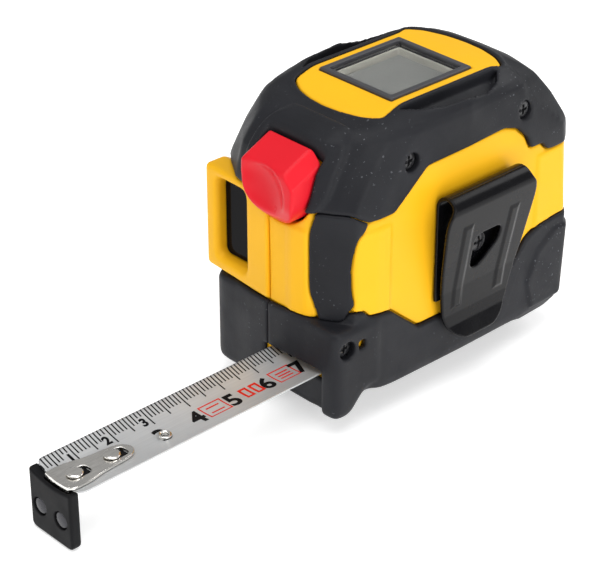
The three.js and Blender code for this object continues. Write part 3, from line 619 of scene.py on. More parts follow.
def case_form(grid):
    """Signed distance from the whole outer form of the case, without the laser housing."""
    body = smax(rings(grid), grid.side(SIDE_VIEW, 2.0, 3), 1.6)
    body = smin(body, leg_block(grid), 0.8)
    collar = smax(grid.plan(plate_outline(COLLAR)), grid.side(SIDE_VIEW, 2.0, 3), 0.4)
    body = smin(body, smax(collar, PLATE_FLOOR - grid.z, 0.5), 0.8)
    scoop = [(12.6, 15), (8, 18), (2.5, 19.6), (-4, 20.2), (-11, 19.6), (-15.8, 18), (-19, 15)]
    floor = 65.0 - 0.45 * (np.abs(grid.y - SEAM) - 14.4)
    for side in (1, -1):
        hollow = grid.plan([(x, SEAM + side * across) for x, across in scoop], 0.8, 3)
        body = minus(body, smax(hollow, floor - grid.z, 0.6), 0.5)
    under = [(32, -5), (32, 0), (27, 4.6), (22, 2.8), (18, 2), (-23, 2), (-27, 0), (-27, -5)]
    body = minus(body, grid.side(under, 2.5, 4), 0.8)
    gx, gy, gz = np.gradient(body, grid.step)
    slope = np.sqrt(gx * gx + gy * gy + gz * gz)
    return (body / np.clip(slope, 0.8, 1.8)).astype(np.float32)


def lock_outline(grow, top):
    """The lock button from the front, grown by a distance: straight sides on a round bottom."""
    middle, half = (LOCK["y0"] + LOCK["y1"]) / 2, (LOCK["y1"] - LOCK["y0"]) / 2
    centre = LOCK["bottom"] + half
    half += grow
    turns = np.radians(np.arange(180, 361, 15))
    bowl = [(middle + half * math.cos(a), centre + half * math.sin(a)) for a in turns]
    return [(middle - half, top)] + bowl + [(middle + half, top)]


def union(fields):
    return functools.reduce(np.minimum, fields)


def cut(field, *tools):
    """A field with each (tool, edge radius) cut out of it in turn."""
    for tool, radius in tools:
        field = minus(field, tool, radius)
    return field


class CaseShapes:
    """The fields that the case's pieces share."""

    def __init__(self):
        grid = Grid((-44, -27, -1.2), (40.6, 21, 69), 0.44)
        self.grid = grid
        self.form = case_form(grid)
        self.cap = grid.side(CAP_EDGE + [(60, FAR), (-60, FAR)], 0.8)
        self.bumper = grid.side(BUMPER_EDGE + [(60, -20), (-60, -20)], 1.0)
        strip = smax(grid.plan(STRIP_PLAN, 0.6), grid.front(STRIP_FACE, 1.6), 0.4)
        self.strip = smax(strip, grid.side(STRIP_SIDE, 0.8), 0.4)
        self.near = SEAM - grid.y
        self.far = grid.y - SEAM

        self.plate_hole = smax(grid.plan(plate_outline(PLATE_GAP)), PLATE_FLOOR - grid.z, 0.4)
        gate = rectangle(MOUTH["y0"], -6, MOUTH["y1"], MOUTH["z1"])
        gate = smax(grid.front(gate, 1.6), MOUTH["back"] - grid.x, 0.4)
        slot = grid.box((26, MOUTH["y0"], MOUTH["z0"]), (FAR, MOUTH["y1"], MOUTH["z1"]), 0.6)
        self.mouth = np.minimum(gate, slot)
        self.lining = grid.box((33.4, MOUTH["y0"] - 1.2, 1.0),
                               (34.7, MOUTH["y1"] + 1.2, MOUTH["z0"] - 0.2), 0.3)
        lock_view = grid.front(lock_outline(LOCK["gap"], 65.2), 0.8, 3)
        self.lock_room = smax(lock_view, LOCK["back"] - grid.x, 0.4)
        hole = SCREW_HOLE
        self.screws = union(smax(grid.rod_y(x, z, hole["radius"]), hole["floor"] - grid.y, 0.3)
                            for _, x, z in SCREWS)
        self.wells = union(np.maximum(grid.rod_y(x, z, hole["well"]), hole["well_floor"] - grid.y)
                           for _, x, z in SCREWS)
        self.wells = np.maximum(self.wells, self.form + 0.5)

        plan = soften([(37.4, SEAM + 4), (36.9, HOUSING["y1"]), (36.4, HOUSING["y1"] - 6),
                       (35.8, HOUSING["y0"]), (16, HOUSING["y0"]), (12, HOUSING["y0"] + 3),
                       (12, SEAM)], 1.2)
        levels = smax(HOUSING["z0"] - grid.z, grid.z - HOUSING["z1"], 1.2)
        self.housing = smax(grid.plan(plan), levels, 1.6)

    def door(self, depth):
        """The battery door's opening, down to a depth."""
        return self.grid.box((DOOR["x0"], -40, DOOR["z0"]), (DOOR["x1"], depth, DOOR["z1"]), 1.0)


def build_cap(case):
    grid = case.grid
    brow = rectangle(LOCK["y0"] - 3.4, 47, LOCK["y1"] + 3.6, 66.6)
    visor = smax(case.form - 0.9, grid.front(brow, 8.0, 6), 0.6)
    visor = smax(visor, 24 - grid.x, 1.0)
    outer = smax(smin(case.form, visor, 0.5), case.cap, 0.7)
    grip = np.maximum(outer, -(case.form + RUBBER))
    grip = np.minimum(grip, np.maximum(case.wells, 40 - grid.z))
    grip = cut(grip, (case.plate_hole, 0.5), (case.lock_room, 0.9), (case.screws, 0.4),
               (case.housing - 0.2, 0.4))
    moulded("cap_rubber", grid, grip, "case", RUBBER_BLACK, "rubber", "cap_grip")


def build_bumpers(case):
    """The rubber round the bottom, in two halves, with a thicker pad on the near rear corner."""
    grid = case.grid
    pad = [(-46, 22.6), (-35, 23.2), (-29, 19.4), (-25.4, 12), (-27.6, 4), (-46, 4)]
    pad = smax(grid.side(pad, 0.8), SEAM + 15.5 - grid.y, 0.8)
    padded = smin(case.form, smax(case.form - 0.65, pad, 0.8), 0.4)
    wrap = np.maximum(smax(padded, case.bumper, 0.7), -(case.form + RUBBER))
    wrap = np.minimum(wrap, np.maximum(case.wells, grid.z - 40))
    notch = grid.box((27.6, 16.4, 16.4), (29.7, 25, 18.6), 0.4)
    wrap = cut(wrap, (case.mouth, 0.7), (case.screws, 0.4), (notch, 0.3), (case.housing - 0.2, 0.4))
    wrap = minus(np.minimum(wrap, case.lining), case.door(-18), 0.4)
    for name, half, node in (("bumper_near", case.near, "near_bumper"),
                             ("bumper_far", case.far, "far_bumper")):
        part = smax(wrap, half + SEAM_GAP * 0.5, 0.35)
        moulded(name, grid, part, "case", RUBBER_BLACK, "rubber", node)


def build_corner(case):
    corner = np.maximum(smax(case.form, case.strip, 0.8), -(case.form + RUBBER))
    corner = cut(corner, (case.cap - 0.12, 0.2), (case.bumper - 0.12, 0.2), (case.lock_room, 0.2))
    moulded("corner_rubber", case.grid, corner, "case", RUBBER_BLACK, "rubber", "corner_grip")


def shell_field(case):
    """Both yellow shells in one: panels between the grips, and a wall behind the rubber."""
    grid = case.grid
    raised = np.clip(grid.x - 19.2, 0, 1) + np.clip(-27.6 - grid.x, 0, 1)
    raised = raised * np.clip((grid.y - 2) / 2, 0, 1) * np.clip((44.6 - grid.z) / 0.8, 0, 1)
    panel = case.form + PANEL_DROP - PANEL_STEP * raised
    grips = smin(smin(case.cap, case.strip, 1.4), case.bumper, 1.4)
    panel = minus(panel, grips - GRIP_GAP, 0.4)
    shell = np.minimum(panel, case.form + RUBBER + 0.3)
    shell = np.maximum(shell, -(case.form + WALL))
    lock_clear = case.lock_room - 0.2 - 0.5 * np.clip((grid.z - 50) / 4, 0, 1)
    arm_clear = grid.box((23.6, -2, 40), (31.6, 10, 53.6), 0.3)
    tools = (case.plate_hole, case.mouth, lock_clear, arm_clear, case.wells - 0.2,
             case.lining - 0.2)
    return cut(shell, *((tool, 0.4) for tool in tools))


def build_far_shell(case, shell):
    """The far shell with the laser housing, its window, the door's opening and the keys' holes."""
    grid = case.grid
    box_room = grid.box((12, -22.4, 24.9), (31.8, -7, 47), 0.6)
    w = WINDOW
    pane = grid.front(rectangle(w["y0"], w["z0"], w["y1"], w["z1"]), 2.2, 5)
    rim = rectangle(w["y0"] - 0.9, w["z0"] - 0.9, w["y1"] + 0.6, w["z1"] + 0.9)
    rim = grid.front(rim, 2.4, 5)
    chamfer = smax(rim + (36.6 - grid.x) * 0.55, 33.0 - grid.x, 0.4)
    window_room = np.minimum(smax(pane, 20 - grid.x, 0.3), chamfer)
    laser = cut(case.housing, (case.cap - GRIP_GAP, 0.4), (case.bumper - GRIP_GAP, 0.4))
    laser = np.maximum(laser, -(case.form + WALL))
    body = cut(np.minimum(shell, laser), (box_room, 0.3), (window_room, 0.7),
               (case.door(DOOR["depth"]), 0.4))
    for _, x, z, r in KEYS:
        body = minus(body, smax(grid.rod_y(x, z, r + 0.3), grid.y + 18, 0.2), 0.5)
    body = smax(body, case.far + SEAM_GAP, 0.3)
    moulded("shell_far", grid, body, "case", YELLOW, "yellow_plastic", "far_shell")


def build_door(case):
    """The battery door, with five finger grooves."""
    grid = case.grid
    lid = np.maximum(case.form + 0.2, -(case.form + 2.4))
    lid = smax(lid, case.door(DOOR["depth"]) + 0.3, 0.6)
    for i in range(5):
        groove = np.hypot(grid.x - (8.5 - 2.2 * i), (grid.y + 25.4) * 0.8) - 0.75
        lid = minus(lid, smax(groove, np.abs(grid.z - 19) - 6, 0.4), 0.4)
    lid = smax(lid, grid.y - DOOR["depth"], 0.3)
    moulded("door_battery", grid, lid, "case", BLACK_PLASTIC, "black_plastic", "battery_door")


def build_case():
    case = CaseShapes()
    build_cap(case)
    build_bumpers(case)
    build_corner(case)
    shell = shell_field(case)
    near = smax(shell, case.near + SEAM_GAP, 0.3)
    moulded("shell_near", case.grid, near, "case", YELLOW, "yellow_plastic", "near_shell")
    build_far_shell(case, shell)
    build_door(case)


# ---- small moulded pieces


def inset_box(grid, low, high, inset, z0, z1, r):
    """A box whose sides lie a distance inside a node's box."""
    return grid.box((low[0] + inset, low[1] + inset, z0), (high[0] - inset, high[1] - inset, z1), r)


def build_display():
    low, high = mm_box("display_bezel")
    grid = Grid((-27, -20.5, 62), (22, 14, 69), 0.3)
    top_face = grid.side(SIDE_VIEW, 2.0, 3)
    plate = smax(grid.plan(plate_outline(0)), top_face + 0.1, 0.6)
    plate = np.maximum(plate, -(top_face + 1.8))
    plate = minus(plate, inset_box(grid, low, high, -0.15, 40, FAR, 0.3), 0.3)
    moulded("plate_top", grid, plate, "case", YELLOW, "yellow_plastic", "display_plate")

    grid = Grid(low - 0.6, high + 0.6, 0.22)
    bezel = minus(grid.box(low, high, 0.3), inset_box(grid, low, high, 1.6, 0, FAR, 0.4), 0.25)
    moulded("bezel_screen", grid, bezel, "case", GREY_PLASTIC, "grey_plastic", "display_bezel")

    low, high = mm_box("display_carrier")
    grid = Grid(low - 0.5, high + 0.5, 0.25)
    funnel = inset_box(grid, low, high, 1.3, 0, FAR, 0.3) - (grid.z - low[2]) * 0.35
    carrier = minus(grid.box(low, high, 0.2), funnel, 0.2)
    moulded("carrier_screen", grid, carrier, "case", PALE_PLASTIC, "pale_plastic",
            "display_carrier")

    # The panel has a raised cell that stands up inside the carrier.
    cell_top = high[2] - 1.0
    low, high = mm_box("display_panel")
    grid = Grid(low - 0.5, (high[0] + 0.5, high[1] + 0.5, cell_top + 0.5), 0.25)
    cell = inset_box(grid, low, high, 1.5, low[2], cell_top, 0.2)
    panel = np.minimum(grid.box(low, high, 0.2), cell)
    moulded("panel_screen", grid, panel, "case", LCD, "lcd", "display_panel")


def build_lock():
    """The button, with a thumb dish in front and a foot that slides behind the shells."""
    low, high = mm_box("lock_button")
    grid = Grid(low - 0.8, high + 0.8, 0.26)
    y0, y1, front, crown = LOCK["y0"], LOCK["y1"], LOCK["front"], 62.2
    profile = [(31.8, crown), (front, 58.3), (front + 0.2, 50.5), (38.9, 46.4), (37.2, 44.4),
               (31.8, 44.4)]
    outline = soften(lock_outline(0, 62.6), 0.8, 3)
    knob = smax(grid.side(profile, 1.2, 4), grid.front(outline), 0.7)
    top = crown - 0.45 * (grid.x - 31.8)
    for edge, width in ((grid.y - y1, 3.0), (y0 - grid.y, 0.8)):
        knob = smax(knob, (edge + grid.z - top + width) / 1.45, 0.35)
    across, up, radius = grid.y + 0.9, (grid.z - 51.9) * 0.92, 10.0
    dish = np.sqrt((grid.x - front - 7.4) ** 2 + across ** 2 + up ** 2) - radius
    knob = minus(knob, dish, 0.55)
    foot = grid.box((LOCK["back"], y0 - 1.9, 45), (32, y1 + 1.9, 49.4), 0.2)
    moulded("button_lock", grid, np.minimum(knob, foot), "lock", RED, "red_plastic", "lock_button")


# ---- sheet metal and turned pieces


def band(a, b, steps):
    """Quads between two rings of vertices that start at a and b."""
    return [(a + k, a + (k + 1) % steps, b + (k + 1) % steps, b + k) for k in range(steps)]


def circles(profile, steps, x=0.0, y=0.0):
    """Vertices of a circle about (x, y) for each (radius, z) point."""
    angles = np.linspace(0, 2 * math.pi, steps, endpoint=False)
    return [(x + r * math.cos(a), y + r * math.sin(a), z) for r, z in profile for a in angles]


def lathe(profile, steps=48):
    """A closed body of revolution about Z, from (radius, z) points that start and end on it."""
    ring = profile[1:-1]
    vertices = [(0, 0, profile[0][1])] + circles(ring, steps) + [(0, 0, profile[-1][1])]
    faces = [(0, 1 + (k + 1) % steps, 1 + k) for k in range(steps)]
    for i in range(len(ring) - 1):
        faces += band(1 + i * steps, 1 + (i + 1) * steps, steps)
    last, end = 1 + (len(ring) - 1) * steps, len(vertices) - 1
    faces += [(last + k, last + (k + 1) % steps, end) for k in range(steps)]
    return np.array(vertices), faces


def turned_piece(name, profile, radius, turn, at, body, material, node_slot, node):
    """A turned piece whose profile's corners are rounded, its ends left on the axis."""
    vertices, faces = lathe(soften(profile, radius, 3, closed=False))
    vertices = vertices @ np.array(turn.to_3x3()).T + np.array(at)
    piece = new_object(name, vertices, faces, body, material, node_slot)
    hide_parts(node)


ALONG_X = Matrix.Rotation(math.pi / 2, 4, "Y")
AGAINST_Y = Matrix.Rotation(math.pi / 2, 4, "X")
UP = Matrix.Identity(4)


def path_distance(u, v, points):
    """Distance from points (u, v) to an open line."""
    u, v = np.broadcast_arrays(u, v)
    best = np.full(u.shape, 1e12, np.float32)
    p = np.array(points, np.float32)
    for a, b in zip(p[:-1], p[1:]):
        e = b - a
        t = np.clip(((u - a[0]) * e[0] + (v - a[1]) * e[1]) / max(float(e @ e), 1e-9), 0, 1)
        best = np.minimum(best, (u - a[0] - e[0] * t) ** 2 + (v - a[1] - e[1] * t) ** 2)
    return np.sqrt(best)


# ---- blade and its print

BLADE_LOW, BLADE_HIGH = mm_box("blade")
CAMBER = 1.4
BLADE_THICK = 0.3
TIP_ROUND = 1.6
INK_LOW, INK_HIGH = -0.02, 0.018      # the print's two faces, up from the blade's hollow face
RIVETS = ("hook_rivet_1", "hook_rivet_2")


def blade_z(y, up=0.0):
    """Height of a surface that lies up from the blade's hollow face."""
    half = (BLADE_HIGH[1] - BLADE_LOW[1]) / 2
    radius = (half * half + CAMBER * CAMBER) / (2 * CAMBER)
    mid = (BLADE_HIGH[1] + BLADE_LOW[1]) / 2
    return BLADE_HIGH[2] - CAMBER + radius - np.sqrt((radius - up) ** 2 - (y - mid) ** 2)


def strip_mesh(xs, y_edges, low, high, steps):
    """A closed strip that follows the blade; y_edges gives both edges at each x."""
    top, bottom = [], []
    for x, (y0, y1) in zip(xs, y_edges):
        ys = np.linspace(y0, y1, steps + 1)
        top += [(x, y, blade_z(y, high)) for y in ys]
        bottom += [(x, y, blade_z(y, low)) for y in ys]
    vertices = top + bottom
    n, rows, flip = steps + 1, len(xs), len(top)
    faces = []
    for i in range(rows - 1):
        for j in range(steps):
            a, b = i * n + j, (i + 1) * n + j
            faces.append((a, b, b + 1, a + 1))
            faces.append((flip + a, flip + a + 1, flip + b + 1, flip + b))
    for i in range(rows - 1):
        a, b = i * n, (i + 1) * n
        faces.append((a, flip + a, flip + b, b))
        a, b = a + steps, b + steps
        faces.append((a, b, flip + b, flip + a))
    for j in range(steps):
        faces.append((j, j + 1, flip + j + 1, flip + j))
        a = (rows - 1) * n + j
        faces.append((a, flip + a, flip + a + 1, a + 1))
    return vertices, faces


def numeral(text, x_right, y_base, height, weight):
    """A numeral lying on the blade, read from the hook: right towards -X, up towards -Y."""
    curve = bpy.data.curves.new("glyph", "FONT")
    curve.body = text
    curve.offset = weight
    curve.extrude = 0.01
    curve.resolution_u = 5
    holder = placed("glyph", curve)
    graph = bpy.context.evaluated_depsgraph_get()
    mesh = bpy.data.meshes.new_from_object(holder.evaluated_get(graph))
    bpy.data.objects.remove(holder)
    points = np.array([v.co for v in mesh.vertices])
    faces = [tuple(p.vertices) for p in mesh.polygons]
    bpy.data.meshes.remove(mesh)
    low, high = points.min(0), points.max(0)
    size = height / (high[1] - low[1])
    x = x_right + (high[0] - points[:, 0]) * size
    y = y_base - (points[:, 1] - low[1]) * size
    z = np.where(points[:, 2] > 0, blade_z(y, INK_HIGH), blade_z(y, INK_LOW))
    return np.stack([x, y, z], 1), faces


def ink_piece(name, patches, material):
    """Many closed patches, print and painted shade, as one piece, with coincident points joined in
    each.
    """
    vertices, faces = [], []
    for patch, polygons in patches:
        keys, index = {}, []
        for p in np.round(np.array(patch, float), 4):
            index.append(keys.setdefault(tuple(p), len(keys)))
        start = len(vertices)
        vertices += list(keys)
        for polygon in polygons:
            ring = [start + index[i] for i in polygon]
            ring = [v for k, v in enumerate(ring) if v != ring[k - 1]]
            if len(ring) > 2:
                faces.append(ring)
    new_object(name, vertices, faces, "blade", material, "tape_steel", smooth=False)


def line_patch(x0, x1, y0, y1):
    steps = max(1, int((y1 - y0) / 0.8))
    return strip_mesh((x0, x1), [(y0, y1)] * 2, INK_LOW, INK_HIGH, steps)


def frame_patches(x0, x1, y0, y1, w):
    """An outlined box of line width w."""
    return [line_patch(x0, x1, y0, y0 + w), line_patch(x0, x1, y1 - w, y1),
            line_patch(x0, x0 + w, y0 + w + 0.01, y1 - w - 0.01),
            line_patch(x1 - w, x1, y0 + w + 0.01, y1 - w - 0.01)]


def corner_pull(x):
    """How far the blade's rounded tip draws its edges in at x."""
    t = max(0.0, x - (BLADE_HIGH[0] - TIP_ROUND)) / TIP_ROUND
    return TIP_ROUND * (1 - math.sqrt(max(0.0, 1 - t * t)))


def upright(node):
    """A node's middle in plan, and its lowest and highest points."""
    low, high = mm_box(node)
    return *centre_of(node)[:2], low[2], high[2]


def build_blade():
    """The flat end of the blade: a camber across it, and a rounded tip."""
    tail, far = BLADE_LOW[0], BLADE_LOW[1]
    tip, near = BLADE_HIGH[0], BLADE_HIGH[1]
    start = tip - TIP_ROUND
    xs = np.concatenate([np.linspace(tail, start, 37), start + np.linspace(0.2, TIP_ROUND, 8)])
    edges = [(far + corner_pull(x), near - corner_pull(x)) for x in xs]
    strip = strip_mesh(xs, edges, -BLADE_THICK, 0, 28)
    piece = new_object("blade_strip", *strip, "blade", TAPE, "tape_steel")
    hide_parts("blade")
    for polygon in piece.data.polygons:
        polygon.use_smooth = abs(polygon.normal.z) > 0.5


def build_print():
    """A plain millimetre scale from the hook's face, its numerals, blank red frames, and painted
    shade in the strap's slots.
    """
    far = BLADE_LOW[1]
    zero = mm_box("hook_cover")[1][0]
    patches = []
    for n in range(2, 74):
        x = zero - n
        length = 5.15 if n % 10 == 0 else 4.5 if n % 5 == 0 else 3.1
        if n in (8, 9, 18, 19, 28, 29):
            length = 1.7    # short under a small numeral
        patches.append(line_patch(x - 0.17, x + 0.17, far + 0.04 + corner_pull(x), far + length))
    for n in (1, 2, 3):
        patches.append(numeral(str(n), zero - 10 * n + 0.95, far + 4.7, 2.6, 0.045))
    for n in (3, 4, 5, 6, 7):
        patches.append(numeral(str(n), zero - 10 * n, 8.9, 5.1, 0.03))
    # Painted shade: under each of the strap's slots, a black patch on the blade stands for the
    # shadow inside the slot.
    for node in RIVETS:
        x, y, _ = centre_of(node)
        patches.append(line_patch(x - 3.7, x - 1.2, y - 1.7, y + 1.7))
    ink_piece("blade_print_and_slot_shade", patches, INK_AND_SLOT_SHADE)

    red = []
    for x0, bars in ((57.8, (0, 2)), (37.5, (0, 1, 2))):
        red += frame_patches(x0, x0 + 6.2, 3.6, 8.7, 0.36)
        for k in bars:
            red.append(line_patch(x0 + 1.3, x0 + 4.9, 4.9 + 1.05 * k, 5.35 + 1.05 * k))
    for x0 in (47.7, 50.7):
        red += frame_patches(x0, x0 + 2.3, 4.2, 8.2, 0.62)
    ink_piece("blade_red_print", red, RED_INK)


def build_rivets():
    shank, head = 1.1, 1.9
    for i, node in enumerate(RIVETS, 1):
        x, y, z0, z1 = upright(node)
        profile = [(0, z0), (1.6, z0), (head, z0 + 0.2), (head, z0 + 0.65), (shank, z0 + 0.65),
                   (shank, z1 - 0.5), (head, z1 - 0.5), (1.88, z1 - 0.2), (1.35, z1 - 0.03),
                   (0, z1)]
        turned_piece(f"rivet_{i}", profile, 0.12, UP, (x, y, 0), "blade", NICKEL, "nickel", node)


def build_eyelet():
    x, y, z0, z1 = upright("blade_eyelet")
    bore, barrel, flange = 0.75, 1.3, 1.55
    ring = soften([(bore, z0), (flange, z0), (flange, z0 + 0.4), (barrel, z0 + 0.4),
                   (barrel, z1 - 0.45), (1.6, z1 - 0.45), (1.5, z1 - 0.1), (1.1, z1),
                   (0.8, z1 - 0.25)], 0.08, 3)
    steps = 48
    faces = []
    for i in range(len(ring)):
        faces += band(i * steps, (i + 1) % len(ring) * steps, steps)
    vertices = circles(ring, steps, x, y)
    piece = new_object("eyelet_blade", vertices, faces, "blade", NICKEL, "nickel")
    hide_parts("blade_eyelet")


def build_strap():
    low, high = mm_box("hook_strap")
    mid = centre_of("hook_strap")[1]
    grid = Grid(low - 0.5, high + 0.5, 0.13)
    half = [(103.5, 4.6), (98.6, 4.6), (94, 3.5), (88.6, 3.1), (86, 2.7), (84.4, 1.5), (83.8, 0)]
    outline = [(x, mid + w) for x, w in half] + [(x, mid - w) for x, w in half[-2::-1]]
    sheet = np.abs(grid.z - blade_z(grid.y, 0.45)) - 0.35
    strap = smax(grid.plan(outline, 1.6, 5), sheet, 0.18)
    for node in RIVETS:
        x = centre_of(node)[0]
        slot = soften(rectangle(x - 3.8, mid - 1.8, x + 1.5, mid + 1.8), 1.7, 6)
        strap = minus(strap, grid.plan(slot), 0.15)
    tongue = grid.box((102.9, mid - 4.6, low[2]), (103.5, mid + 3.4, 99), 0.2)
    tongue = smax(tongue, grid.z - blade_z(grid.y, 0.8), 0.3)
    moulded("strap_hook", grid, smin(strap, tongue, 0.4), "hook", NICKEL, "nickel", "hook_strap")


def build_cover():
    """The hook's cover, with a slot for the strap's tongue and cups for the two magnets."""
    mid = centre_of("hook_strap")[1]
    low, high = mm_box("hook_cover")
    grid = Grid(low - 0.5, high + 0.5, 0.17)
    front = grid.front(rectangle(low[1], low[2], high[1], 30), 1.6, 5)
    top = grid.z - blade_z(grid.y, -BLADE_THICK - 0.25)
    body = smax(smax(front, top, 0.5), slab(grid.x, low[0], high[0]), 0.7)
    body = minus(body, grid.box((102.65, mid - 4.9, 4.1), (103.75, mid + 3.7, 20), 0.1), 0.15)
    disc = [(0, 0), (2, 0), (2, 0.95), (1.75, 1.2), (1.2, 1.35), (0.6, 1.42), (0, 1.44)]
    for node in ("hook_magnet_1", "hook_magnet_2"):
        _, y, z = centre_of(node)
        cup = smax(grid.rod_x(y, z, 2.12), high[0] - 1.55 - grid.x, 0.1)
        body = minus(body, cup, 0.25)
        turned_piece(node.replace("hook_", "disc_"), disc, 0.15, ALONG_X,
                     (mm_box(node)[0][0], y, z), "hook", MAGNET, "nickel", node)
    moulded("cover_hook", grid, body, "hook", BLACK_PLASTIC, "black_plastic", "hook_cover")


# ---- belt clip, screws and keys

FOLD = dict(y=21.8, z=43.6, radius=3.3)
SHEET = 0.9


def curl(start, end, steps=14):
    """Points on the middle of the clip's fold between two angles in degrees."""
    radius = FOLD["radius"] - SHEET / 2
    angles = np.radians(np.linspace(start, end, steps + 1))
    return [(FOLD["y"] + radius * math.cos(a), FOLD["z"] + radius * math.sin(a)) for a in angles]


def build_clip():
    low, high = mm_box("clip_leaf")
    x = centre_of("clip_leaf")[0]
    z_screw = centre_of("clip_screw")[2]
    grid = Grid(low - 0.7, high + 0.7, 0.21)
    line = curl(80, 0) + [(20.7, 22), (20.0, 15), (20.3, 12), (21.9, 8.4)]
    rib = np.abs(np.abs(grid.x - x) - 7.6 - (40 - grid.z) * -0.03) - 1.3
    rib = np.maximum(rib, np.abs(grid.z - 28) - 11)
    rise = 0.28 * np.clip(0.5 - rib / 0.9, 0, 1)
    leaf = path_distance(grid.y, grid.z, line) - SHEET / 2 - rise
    half = [(4.6, 8.1), (8.6, 10.4), (10.8, 14.6), (13.2, 28), (14.5, 40.4), (14, 43.4),
            (12.4, 45.4), (12.4, 52)]
    outline = [(x + w, z) for w, z in half] + [(x - w, z) for w, z in half[::-1]]
    leaf = smax(leaf, grid.side(outline, 2.0, 5), 0.35)
    eye = [(4.3, 4.3), (-4.3, 4.3), (-4.3, 0.6), (1.2, -5.2), (4.3, -4.6)]
    eye = [(x + u, z_screw + v) for u, v in eye]
    leaf = minus(leaf, grid.side(eye, 2.2, 6), 0.4)
    leaf = smax(leaf, low[2] - grid.z, 0.2)
    moulded("leaf_clip", grid, leaf, "clip", CLIP_BLACK, "black_steel", "clip_leaf")

    low, high = mm_box("clip_base")
    grid = Grid(low - 0.7, high + 0.7, 0.21)
    base = path_distance(grid.y, grid.z, curl(88, 180) + [(18.95, low[2] - 5)]) - SHEET / 2
    base = smax(base, np.abs(grid.x - x) - (high[0] - low[0]) / 2, 0.35)
    base = smax(base, low[2] - grid.z, 0.35)
    base = minus(base, grid.rod_y(x, z_screw, 1.7), 0.2)
    moulded("base_clip", grid, base, "case", CLIP_BLACK, "black_steel", "clip_base")


def screw_piece(node, radius, head, shank):
    """A round-headed screw with a cross recess, its head towards +Y."""
    low, high = mm_box(node)
    grid = Grid(low - 0.4, high + 0.4, 0.13)
    x, _, z = centre_of(node)
    top = high[1]
    cap = smax(grid.rod_y(x, z, radius), np.maximum(grid.y - top, top - head - grid.y), 0.35)
    crown = 6.5
    ball = np.sqrt((grid.x - x) ** 2 + (grid.z - z) ** 2 + (grid.y - top + crown) ** 2) - crown
    cap = smax(cap, ball, 0.2)
    ends = np.maximum(grid.y - top + head * 0.5, low[1] - grid.y)
    body = np.minimum(cap, smax(grid.rod_y(x, z, shank), ends, 0.3))
    for w, h in ((radius * 0.6, 0.3), (0.3, radius * 0.6)):
        bar = grid.box((x - w, top - 0.9, z - h), (x + w, top + 1, z + h), 0.1)
        body = minus(body, bar, 0.15)
    moulded("head_" + node, grid, body, "case", SCREW_BLACK, "black_steel", node)


def build_screws():
    for screw in SCREWS:
        screw_piece(screw[0], 2.1, 1.6, 1.1)
    screw_piece("clip_screw", 2.4, 1.2, 1.1)


def build_keys():
    """Each key is a dished cap with a flange behind the shell and a stem to its switch."""
    stem, flange, dish = 1.5, 1.0, 0.75
    for node, x, z, r in KEYS:
        low, high = mm_box(node)
        depth = high[1] - low[1]
        profile = [(0, dish), (r * 0.7, 0.5), (r * 0.82, 0.12), (r, 0.45), (r, depth - 2.1),
                   (r + flange, depth - 2.1), (r + flange, depth - 1.4), (stem, depth - 1.4),
                   (stem, depth), (0, depth)]
        profile = [(a, -b) for a, b in profile]
        material, slot = (GREY_PLASTIC, "grey_plastic")
        if node == "measure_key":
            material, slot = (RED, "red_plastic")
        turned_piece("cap_" + node, profile, 0.3, AGAINST_Y, (x, low[1], z), node, material,
                     slot, node)


# ---- laser window and inner pieces


def build_window():
    low, high = mm_box("laser_window")
    grid = Grid(low - 0.4, high + 0.4, 0.2)
    pane = grid.front(rectangle(low[1], low[2], high[1], high[2]), 1.8, 5)
    pane = smax(pane, slab(grid.x, low[0], high[0]), 0.25)
    moulded("pane_laser", grid, pane, "case", GLOSS_BLACK, "lens_black", "laser_window")


CARRIED = [
    (BOARD, ["key_board", "main_board", "receiver_sensor"]),
    (BLACK_PLASTIC, ["chamber_divider", "laser_block", "reel_drum", "reel_lid"]),
    (SLEEVE, ["battery_1", "battery_2"]),
    (TAPE, ["blade_coil", "blade_lead"]),
    (DARK_STEEL, ["power_spring", "brake_arm"]),
    (STEEL, ["reel_axle"]),
    (NICKEL, ["contact_front", "contact_rear"]),
    (BRASS, ["laser_emitter"]),
    (RUBBER_BLACK, ["brake_pad"]),
    (WINDOW_CLEAR, ["display_window", "receiver_lens"]),
]


def dress_carried():
    """Show CAD nodes as they are, with their own materials."""
    for material, nodes in CARRIED:
        for node in nodes:
            materials = bpy.data.objects[node].data.materials
            materials.clear()
            materials.append(material)


# ---- stage, light and camera

MIDDLE = (0.064, 0.008, 0.03)
SOFTBOXES = [    # name, place, size, power
    ("key_top", (0.184, 0.058, 0.75), (0.7, 0.7), 3.7),
    ("side_front", (0.784, -0.342, 0.4), (0.5, 0.6), 1.0),
    ("side_near", (0.134, 0.808, 0.35), (0.6, 0.5), 3.9),
    ("rim_rear", (-0.566, 0.108, 0.5), (0.4, 0.4), 1.4),
]


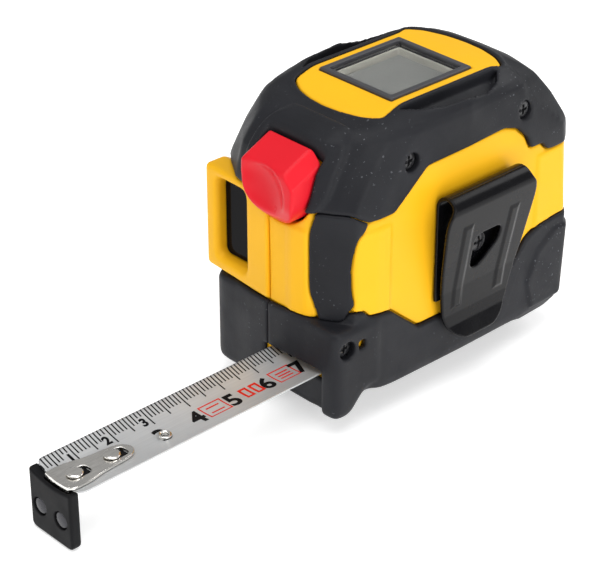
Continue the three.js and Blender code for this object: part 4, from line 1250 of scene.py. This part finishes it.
def build_lights():
    world = bpy.data.worlds.new("studio")
    world.use_nodes = True
    put(world.node_tree.nodes["Background"], Color=(1, 1, 1, 1), Strength=0.36)
    bpy.context.scene.world = world
    for name, at, size, power in SOFTBOXES:
        light = bpy.data.lights.new(name, "AREA")
        light.shape = "RECTANGLE"
        light.size, light.size_y = size
        light.energy = power
        lamp = placed(name, light)
        lamp.location = at
        lamp.rotation_euler = (Vector(MIDDLE) - Vector(at)).to_track_quat("-Z", "Y").to_euler()


def build_floor():
    ground = CAD_BOX[0][2] - 0.0002
    n, reach = 24, 6.0
    steps = [-reach + 2 * reach * i / n for i in range(n + 1)]
    vertices = [(x, y, ground) for x in steps for y in steps]
    corners = [i * (n + 1) + j for i in range(n) for j in range(n)]
    faces = [(c, c + n + 1, c + n + 2, c + 1) for c in corners]
    mesh = bpy.data.meshes.new("floor")
    mesh.from_pydata(vertices, [], faces)
    material, tree, shader = nodes_of("floor_paper")
    fleck = noise(tree, place_of(tree), 8)
    tone = ramp(tree, fleck, [(0.3, (0.93, 0.93, 0.93)), (0.7, (0.95, 0.95, 0.95))])
    tree.links.new(tone, shader.inputs["Base Color"])
    put(shader, Roughness=0.9, Emission_Color=(1, 1, 1, 1), Emission_Strength=0.42)
    mesh.materials.append(material)
    floor = placed("floor", mesh)


AZIMUTH, ELEVATION = math.radians(46.95), math.radians(30.03)
CAMERA_AT = Vector((312.616, 302.547, 263.659)) * MM + Vector(ORIGIN) * MM


def build_camera():
    data = bpy.data.cameras.new("view")
    data.lens, data.sensor_width = 128.2, 36.0
    data.clip_start, data.clip_end = 0.01, 30
    camera = placed("view", data)
    away = Vector((math.cos(ELEVATION) * math.cos(AZIMUTH),
                   math.cos(ELEVATION) * math.sin(AZIMUTH), math.sin(ELEVATION)))
    camera.location = CAMERA_AT
    camera.rotation_euler = (-away).to_track_quat("-Z", "Y").to_euler()
    bpy.context.scene.camera = camera


build_case()
build_display()
build_lock()
build_blade()
build_print()
build_rivets()
build_eyelet()
build_strap()
build_cover()
build_clip()
build_screws()
build_keys()
build_window()
dress_carried()
build_floor()
build_lights()
build_camera()
bpy.context.scene.view_settings.view_transform = "Standard"
